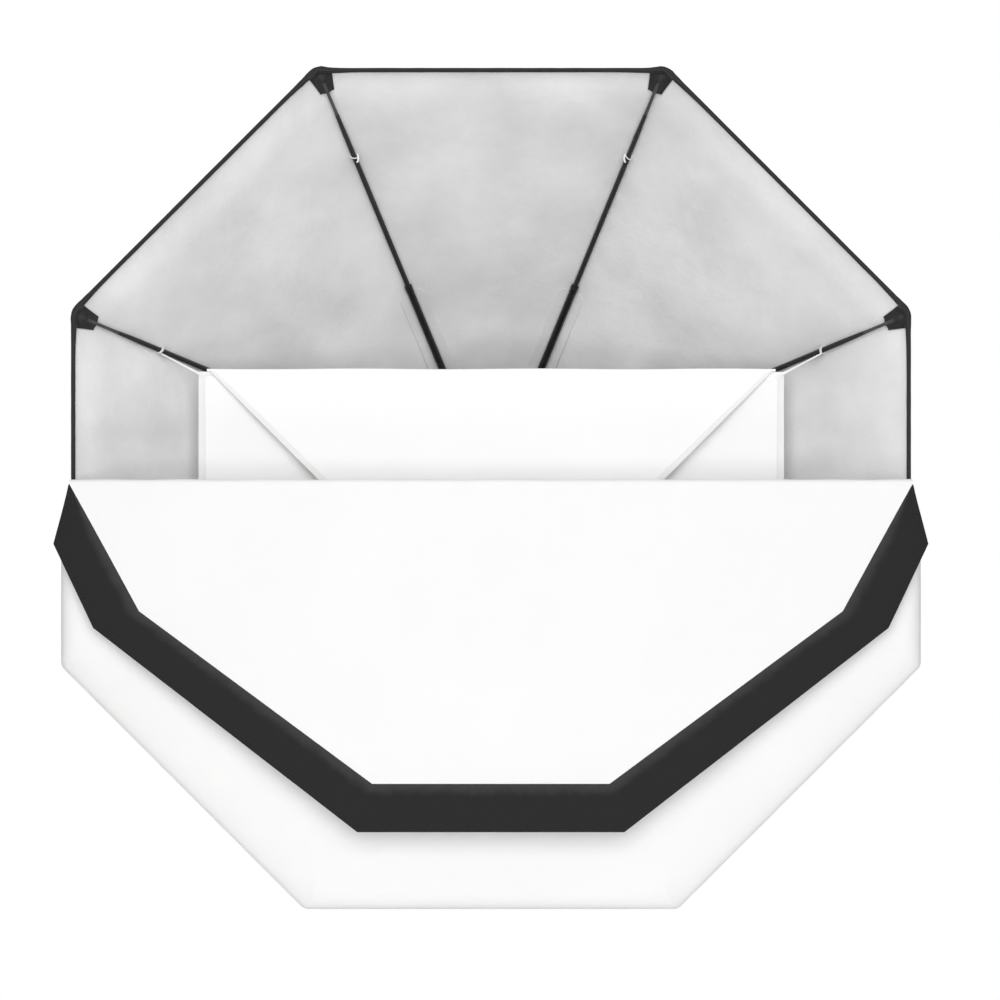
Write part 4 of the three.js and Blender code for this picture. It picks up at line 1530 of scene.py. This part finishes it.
@dataclass
class FrontCover:
    """Lower half of the front diffuser, stretched over the rim."""

    bench: Bench
    finishes: Finishes
    rim: Rim
    side: float = 0.4618
    slant: float = 0.4627
    bottom: float = 0.4535
    fold_half: float = 0.4525
    drawn_in: float = 0.065
    front: float = -0.3795
    edge_depth: float = -0.3655
    back: float = -0.3305
    slant_roll: float = 0.052
    level_roll: float = 0.020
    hug: float = 0.0245
    cloth: float = 0.0006

    def corners(self) -> list[tuple[float, float]]:
        """Corners of the outline from the right end of the fold to the left one."""
        low = self.slant * math.sqrt(2.0) - self.side
        across = self.slant * math.sqrt(2.0) - self.bottom
        right = [(self.fold_half, 0.0), (self.side, -self.drawn_in), (self.side, -low),
                 (across, -self.bottom)]
        return right + [(-x, z) for x, z in reversed(right)]

    def outline(self, fillet: float = 0.005) -> tuple[np.ndarray, np.ndarray]:
        """Edge path with rounded corners, and its outward directions, as x and z."""
        corners = [np.array(c) for c in self.corners()]
        points, outs = [], []
        for i, (a, b) in enumerate(zip(corners, corners[1:])):
            along = (b - a) / np.linalg.norm(b - a)
            out = np.array([-along[1], along[0]])
            first = a + along * (0 if i == 0 else fillet)
            last = b - along * (0 if i == len(corners) - 2 else fillet)
            count = max(6, int(np.linalg.norm(last - first) / 0.014))
            for share in np.linspace(0, 1, count):
                points.append(first + (last - first) * share)
                outs.append(out)
            if i < len(corners) - 2:
                ahead = (corners[i + 2] - b) / np.linalg.norm(corners[i + 2] - b)
                for share in (0.25, 0.5, 0.75):
                    p = (1 - share) ** 2 * last + 2 * share * (1 - share) * b
                    points.append(p + share ** 2 * (b + ahead * fillet))
                    turn = along * (1 - share) + ahead * share
                    turn /= np.linalg.norm(turn)
                    outs.append(np.array([-turn[1], turn[0]]))
        path, out = np.array(points), np.array(outs)
        return path, -out if np.dot(out[0], path[0]) < 0 else out

    def build(self) -> None:
        """Builds the cover, its seam, its hem and the hook strip inside it."""
        path, outs = self.outline()
        length = along_path(path)
        inset = list(np.linspace(0.97, 0.125, 22))
        rows, rises = [np.zeros_like(path)], [0.0]
        for share in inset:
            rows.append(path * (1 - share))
            rises.append(0.0)
        drop = self.edge_depth - self.front
        slanting = np.clip(1.7 * np.abs(outs[:, 0] * outs[:, 1]) * 2 - 0.7, 0, 1)
        for _ in range(9):
            slanting[1:-1] = (slanting[:-2] + slanting[1:-1] * 2 + slanting[2:]) / 4
        roll_in = self.level_roll + (self.slant_roll - self.level_roll) * slanting
        for angle in np.linspace(0, math.pi / 2, 14):
            inward = roll_in * (1 - math.sin(angle))
            rows.append(path * (1 - inward / self.side)[:, None])
            rises.append(drop * (1 - math.cos(angle)))
        for share in np.linspace(0, 1, 9)[1:]:
            rows.append(path - outs * self.hug * share ** 1.6)
            rises.append(drop + (self.back - self.edge_depth) * share)
        grid = np.empty((len(rows), len(path), 3))
        waves = Ripples(21, 0.0006, 0.20, 0.33)
        shrink = Ripples(22, 0.0007, 0.045, 1.0)
        for index, (flat, rise) in enumerate(zip(rows, rises)):
            share = index / (len(rows) - 1)
            on_face = index < len(inset)
            relief = waves.at(flat[:, 0], flat[:, 1]) if on_face else 0.0
            pull = shrink.at(length, length * 0) * np.clip((share - 0.78) / 0.2, 0, 1)
            grid[index, :, 0] = flat[:, 0] - outs[:, 0] * pull
            grid[index, :, 2] = flat[:, 1] - outs[:, 1] * pull
            grid[index, :, 1] = self.front + rise + relief * min(1.0, index / 3)
        grid[..., 2] = np.minimum(grid[..., 2], -0.0002)
        uv = np.stack([grid[..., 0], grid[..., 2] + (grid[..., 1] - self.front)], axis=-1)
        piece = self.bench.sheet("front_cover_cloth", grid, uv, self.cloth, pole=True)
        self.bench.register(piece, self.finishes.white, Body.BOX, "white_cloth",
                            ["front_cover", "cover_band"])
        self.build_hem(grid, outs)
        self.build_hook_strip()

    def build_hem(self, grid: np.ndarray, outs: np.ndarray) -> None:
        """Binds the band's rear edge and sews it."""
        last = grid[-1]
        out = np.stack([outs[:, 0], 0 * outs[:, 0], outs[:, 1]], axis=-1)
        turns = np.linspace(0.2, 2 * math.pi - 0.2, 12)
        tube = np.stack([
            last + out * (0.0013 * math.cos(a)) + np.array([0.0, 0.0024 * math.sin(a) - 0.001, 0.0])
            for a in turns
        ])
        tube[..., 2] = np.minimum(tube[..., 2], -0.0002)
        uv = np.stack(np.broadcast_arrays(along_path(last)[None, :], (turns * 0.002)[:, None]), axis=-1)
        hem = self.bench.sheet("cover_hem", tube, uv, 0.0004)
        self.bench.register(hem, self.finishes.white_hem, Body.BOX, "white_cloth")
        rows = [(grid[row] + out * 0.0007, out) for row in (-4, -7)]
        thread = self.bench.stitches("cover_stitches", rows)
        self.bench.register(thread, self.finishes.white_thread, Body.BOX, "white_cloth")

    def build_hook_strip(self) -> None:
        """Sews the hook strip inside the band."""
        grid, uv = self.rim.belt(np.linspace(0.915, 0.985, 4), 0.0042, (5, 6, 7), columns=20)
        piece = self.bench.sheet("hook_band", grid, uv, 0.0011)
        self.bench.register(piece, self.finishes.hook, Body.BOX, "hook_tape", ["hook_strip"])


@dataclass
class FrontFlap:
    """Upper half of the front diffuser, released and hanging from the fold."""

    bench: Bench
    finishes: Finishes
    tilt: float = math.radians(5.0)
    reach: float = 0.3686
    fold_radius: float = 0.0042
    fold_front: float = 0.0058
    fold_half: float = 0.4502
    cloth: float = 0.0006
    counts: tuple[int, ...] = (8, 10, 26)
    seam: tuple[tuple[float, float], ...] = ((0.4496, 0.0), (0.4150, -0.0622), (0.3747, -0.135),
                                             (0.1257, -0.318))
    edge: tuple[tuple[float, float], ...] = ((0.4505, 0.0), (0.4660, -0.0635), (0.4227, -0.153),
                                             (0.1411, -0.3686))

    def hinge(self) -> np.ndarray:
        """Point on the fold's hinge line."""
        joint = next(j for j in frame["joints"] if j["name"] == "front_fold")
        return np.array(joint["pos_m"], dtype=float)

    def place(self, x: np.ndarray, z: np.ndarray, rise: np.ndarray | float) -> np.ndarray:
        """Puts flat points on the hanging plane.

        Args:
            x: Distance across.
            z: Distance along the cloth, negative below the fold.
            rise: Distance in front of the cloth's plane.

        Returns:
            Points as x, y and z.
        """
        x, z, rise = np.broadcast_arrays(x, z, rise)
        down = np.array([0.0, math.sin(self.tilt), math.cos(self.tilt)])
        front = np.array([0.0, -math.cos(self.tilt), math.sin(self.tilt)])
        side = np.array([1.0, 0.0, 0.0])
        return (self.hinge() + side * x[..., None] + down * z[..., None] + front * rise[..., None])

    @staticmethod
    def mirrored(corners: Sequence[tuple[float, float]], counts: Sequence[int]) -> np.ndarray:
        """Path from the right end to the left one, with set counts on each stretch."""
        full = [*corners, *[(-x, z) for x, z in reversed(corners)]]
        steps = [*counts, counts[-1] + 10, *reversed(counts)]
        points = []
        for (a, b), count in zip(zip(full, full[1:]), steps):
            for share in np.linspace(0, 1, count, endpoint=False):
                points.append((a[0] + (b[0] - a[0]) * share, a[1] + (b[1] - a[1]) * share))
        points.append(full[-1])
        return np.array(points)

    def stretch_line(self) -> tuple[Vector, Vector]:
        """Start and end of the stretch from the fold to the free edge."""
        ends = self.place(np.zeros(2), np.array([0.0, -self.reach]), 0.0)
        return Vector(ends[0]), Vector(ends[1])

    def build_cloth(self) -> None:
        """Builds the white half that hangs from the fold."""
        path = self.mirrored(self.seam, self.counts)
        shares = np.linspace(0, 1, 34)[:, None]
        x, z = path[None, :, 0] * shares, path[None, :, 1] * shares
        pillow = (1 - shares ** 2) * (1 - np.exp(z / 0.09))
        relief = Ripples(31, 0.0007, 0.30, 0.42).at(x, z) * (1 - shares ** 8)
        settle = self.fold_front * np.exp(z / 0.045)
        rise = 0.0008 + settle + 0.004 * pillow + relief * (1 - np.exp(z / 0.04))
        grid = self.place(x, z, rise)
        uv = np.stack([x, z], axis=-1)
        piece = self.bench.sheet("diffuser_cloth", grid, uv, self.cloth, pole=True)
        self.bench.register_bent(piece, self.finishes.white, (Body.FRONT_FLAP, Body.FLAP_HEM),
                                 self.stretch_line(), "white_cloth", ["diffuser_flap"])

    def band_profile(self) -> tuple[np.ndarray, np.ndarray]:
        """Places across the band, and how far it stands in front there."""
        across = np.array([0.0, 0.02, 0.05, 0.10, 0.15, 0.20, 0.26, 0.33, 0.42, 0.55, 0.7, 0.85, 0.95,
                           1.0])
        rise = np.array([0.3, 1.3, 2.2, 3.2, 4.0, 4.6, 5.1, 5.5, 5.8, 6.0, 6.0, 5.8, 5.3, 4.4]) / 1000
        return across, rise

    def band_grid(self) -> tuple[np.ndarray, np.ndarray]:
        """Points of the band and its UVs."""
        inner = self.mirrored(self.seam, self.counts)
        outer = self.mirrored(self.edge, self.counts)
        across, rise = self.band_profile()
        mix = across[:, None, None]
        flat = inner[None] * (1 - mix) + outer[None] * mix
        length = along_path(outer)
        wave = Ripples(33, 0.0007, 0.09, 1.0).at(length, length * 0)
        taper = np.clip(length / 0.06, 0.15, 1) * np.clip((length[-1] - length) / 0.06, 0.15, 1)
        settle = self.fold_front * np.exp(flat[..., 1] / 0.045)
        heights = rise[:, None] * taper[None, :] + wave[None, :] * across[:, None] + settle
        grid = self.place(flat[..., 0], flat[..., 1], heights)
        uv = np.stack(np.broadcast_arrays(across[:, None] * 0.05, length[None, :]), axis=-1)
        return grid, uv

    def build_band(self) -> None:
        """Builds the black hook band and its white outside."""
        grid, uv = self.band_grid()
        bodies = (Body.FRONT_FLAP, Body.FLAP_HEM)
        line = self.stretch_line()
        band = self.bench.sheet("band_hooks", grid, uv, 0.0009)
        self.bench.register_bent(band, self.finishes.band, bodies, line, "hook_tape", ["flap_band"])
        front = self.place(np.zeros(2), np.zeros(2), np.array([0.0, 1.0]))
        direction = front[1] - front[0]
        backing = self.bench.sheet("band_backing", grid - direction * 0.0013, uv, 0.0006)
        self.bench.register_bent(backing, self.finishes.white, bodies, line, "white_cloth")
        normals = np.tile(direction, (grid.shape[1], 1))
        rows = [(grid[row] + direction * 0.0006, normals) for row in (1, -3)]
        thread = self.bench.stitches("band_stitches", rows)
        self.bench.register_bent(thread, self.finishes.black_thread, bodies, line, "black_webbing")

    def build_fold(self) -> None:
        """Rolls the cloth over between the cover and the hanging half."""
        hinge = self.hinge()
        turns = np.linspace(-0.15, math.pi + 0.45, 17)
        radius = self.fold_radius
        middle = hinge + np.array([0.0, radius - 0.0008 - self.fold_front, 0.0015])
        x = np.linspace(-self.fold_half, self.fold_half, 110)
        plump = radius + Ripples(35, 0.0003, 0.12, 1.0).at(x, x * 0)
        grid = np.stack([
            np.stack([x, middle[1] + plump * math.cos(a), middle[2] + plump * math.sin(a)], axis=-1)
            for a in turns
        ])
        uv = np.stack(np.broadcast_arrays(x[None, :], (turns * radius)[:, None]), axis=-1)
        piece = self.bench.sheet("fold_roll", grid, uv, self.cloth)
        self.bench.register_bent(
            piece, self.finishes.white, (Body.BOX, Body.FRONT_FLAP),
            (Vector(middle + [0, radius, 0]), Vector(middle - [0, radius, 0])), "white_cloth")

    def build(self) -> None:
        """Builds the hanging half."""
        self.build_cloth()
        self.build_band()
        self.build_fold()


# ---- stage --------------------------------------------------------------------------------------


@dataclass
class Stage:
    """Camera, pale floor and soft studio light."""

    rim_depth: float = -0.366
    distance: float = 3.0
    span: float = 1.0753
    offset: tuple[float, float] = (0.0097, -0.014)
    floor_z: float = -1.15
    surround: tuple[tuple[float, float], ...] = ((0.0, 0.34), (0.6, 0.15), (0.78, 0.6), (1.0, 0.9))

    def build_camera(self) -> None:
        """Sets the camera level, straight in front."""
        data = bpy.data.cameras.new("camera")
        data.sensor_width = 36.0
        data.lens = 36.0 * self.distance / self.span
        data.clip_end = 50.0
        camera = bpy.data.objects.new("camera", data)
        camera.location = (self.offset[0], self.rim_depth - self.distance, self.offset[1])
        camera.rotation_euler = (math.pi / 2, 0.0, 0.0)
        bpy.context.scene.collection.objects.link(camera)
        bpy.context.scene.camera = camera

    def build_floor(self) -> None:
        """Lays a round pale floor well below the softbox."""
        bpy.ops.object.select_all(action="DESELECT")
        bpy.ops.mesh.primitive_circle_add(vertices=96, radius=2.2, fill_type="NGON",
                                          location=(0.0, -0.2, self.floor_z))
        floor = bpy.context.object
        floor.name = "floor"
        shader = Shader("pale_floor", (0.83, 0.83, 0.83), 0.9)
        grain = shader.noise(shader.coordinates("Object", (1.0, 1.0, 1.0)), 3.0, 4.0)
        shader.tint((0.83, 0.83, 0.83), shader.remap(grain, 0.99, 1.01))
        floor.data.materials.append(shader.material)

    def build_world(self) -> None:
        """Sets a white backdrop and a surround that is brighter in front and behind."""
        world = bpy.data.worlds.new("white_studio")
        world.use_nodes = True
        tree = world.node_tree
        background = tree.nodes["Background"]
        place = tree.nodes.new("ShaderNodeTexCoord")
        axes = tree.nodes.new("ShaderNodeSeparateXYZ")
        tree.links.new(place.outputs["Generated"], axes.inputs[0])
        share = tree.nodes.new("ShaderNodeMapRange")
        share.inputs["From Min"].default_value = -1.0
        tree.links.new(axes.outputs["Y"], share.inputs["Value"])
        surround = tree.nodes.new("ShaderNodeValToRGB")
        tree.links.new(share.outputs["Result"], surround.inputs["Fac"])
        ramp = surround.color_ramp
        for place_on, level in self.surround:
            ends = [stop for stop in ramp.elements if abs(stop.position - place_on) < 1e-6]
            stop = ends[0] if ends else ramp.elements.new(place_on)
            stop.color = (level, level, level, 1.0)
        above = tree.nodes.new("ShaderNodeMapRange")
        for name, value in (("From Min", -1.0), ("To Min", 0.4), ("To Max", 1.6)):
            above.inputs[name].default_value = value
        tree.links.new(axes.outputs["Z"], above.inputs["Value"])
        light = tree.nodes.new("ShaderNodeMath")
        light.operation = "MULTIPLY"
        tree.links.new(surround.outputs["Color"], light.inputs[0])
        tree.links.new(above.outputs["Result"], light.inputs[1])
        ray = tree.nodes.new("ShaderNodeLightPath")
        mix = tree.nodes.new("ShaderNodeMix")
        mix.inputs[3].default_value = 1.0
        tree.links.new(ray.outputs["Is Camera Ray"], mix.inputs[0])
        tree.links.new(light.outputs[0], mix.inputs[2])
        tree.links.new(mix.outputs[0], background.inputs["Strength"])
        background.inputs["Color"].default_value = (1.0, 1.0, 1.0, 1.0)
        bpy.context.scene.world = world

    @staticmethod
    def area_light(name: str, place: Sequence[float], target: Sequence[float], size: float,
                   power: float) -> None:
        """Hangs one soft light.

        Args:
            name: Its name.
            place: Where it hangs.
            target: What it faces.
            size: Side of its square.
            power: Watts.
        """
        data = bpy.data.lights.new(name, "AREA")
        data.size = size
        data.energy = power
        light = bpy.data.objects.new(name, data)
        light.location = place
        light.rotation_euler = (Vector(target) - Vector(place)).to_track_quat("-Z", "Y").to_euler()
        bpy.context.scene.collection.objects.link(light)

    def build(self) -> None:
        """Builds the stage."""
        self.build_camera()
        self.build_floor()
        self.build_world()
        self.area_light("key", (0.0, -3.5, 0.55), (0.0, -0.3, 0.0), 2.8, 98.0)
        self.area_light("rear_fill", (1.6, 2.6, 1.9), (0.0, -0.1, 0.0), 1.6, 40.0)
        bpy.context.scene.view_settings.view_transform = "Standard"


def main() -> None:
    """Builds every sub-assembly in order."""
    logging.basicConfig(level=logging.INFO, format="%(name)s %(message)s")
    Stage().build()
    bench, finishes = Bench(), Finishes()
    shell = Shell(bench, finishes)
    shell.build()
    rim = Rim(bench, finishes, shell)
    rim.build()
    rods = Rods(bench, finishes)
    rods.build()
    RingAssembly(bench, finishes).build()
    Baffle(bench, finishes, rods).build()
    FrontCover(bench, finishes, rim).build()
    FrontFlap(bench, finishes).build()
    log.info("%d pieces built", bench.count)


if __name__ == "__main__":
    main()
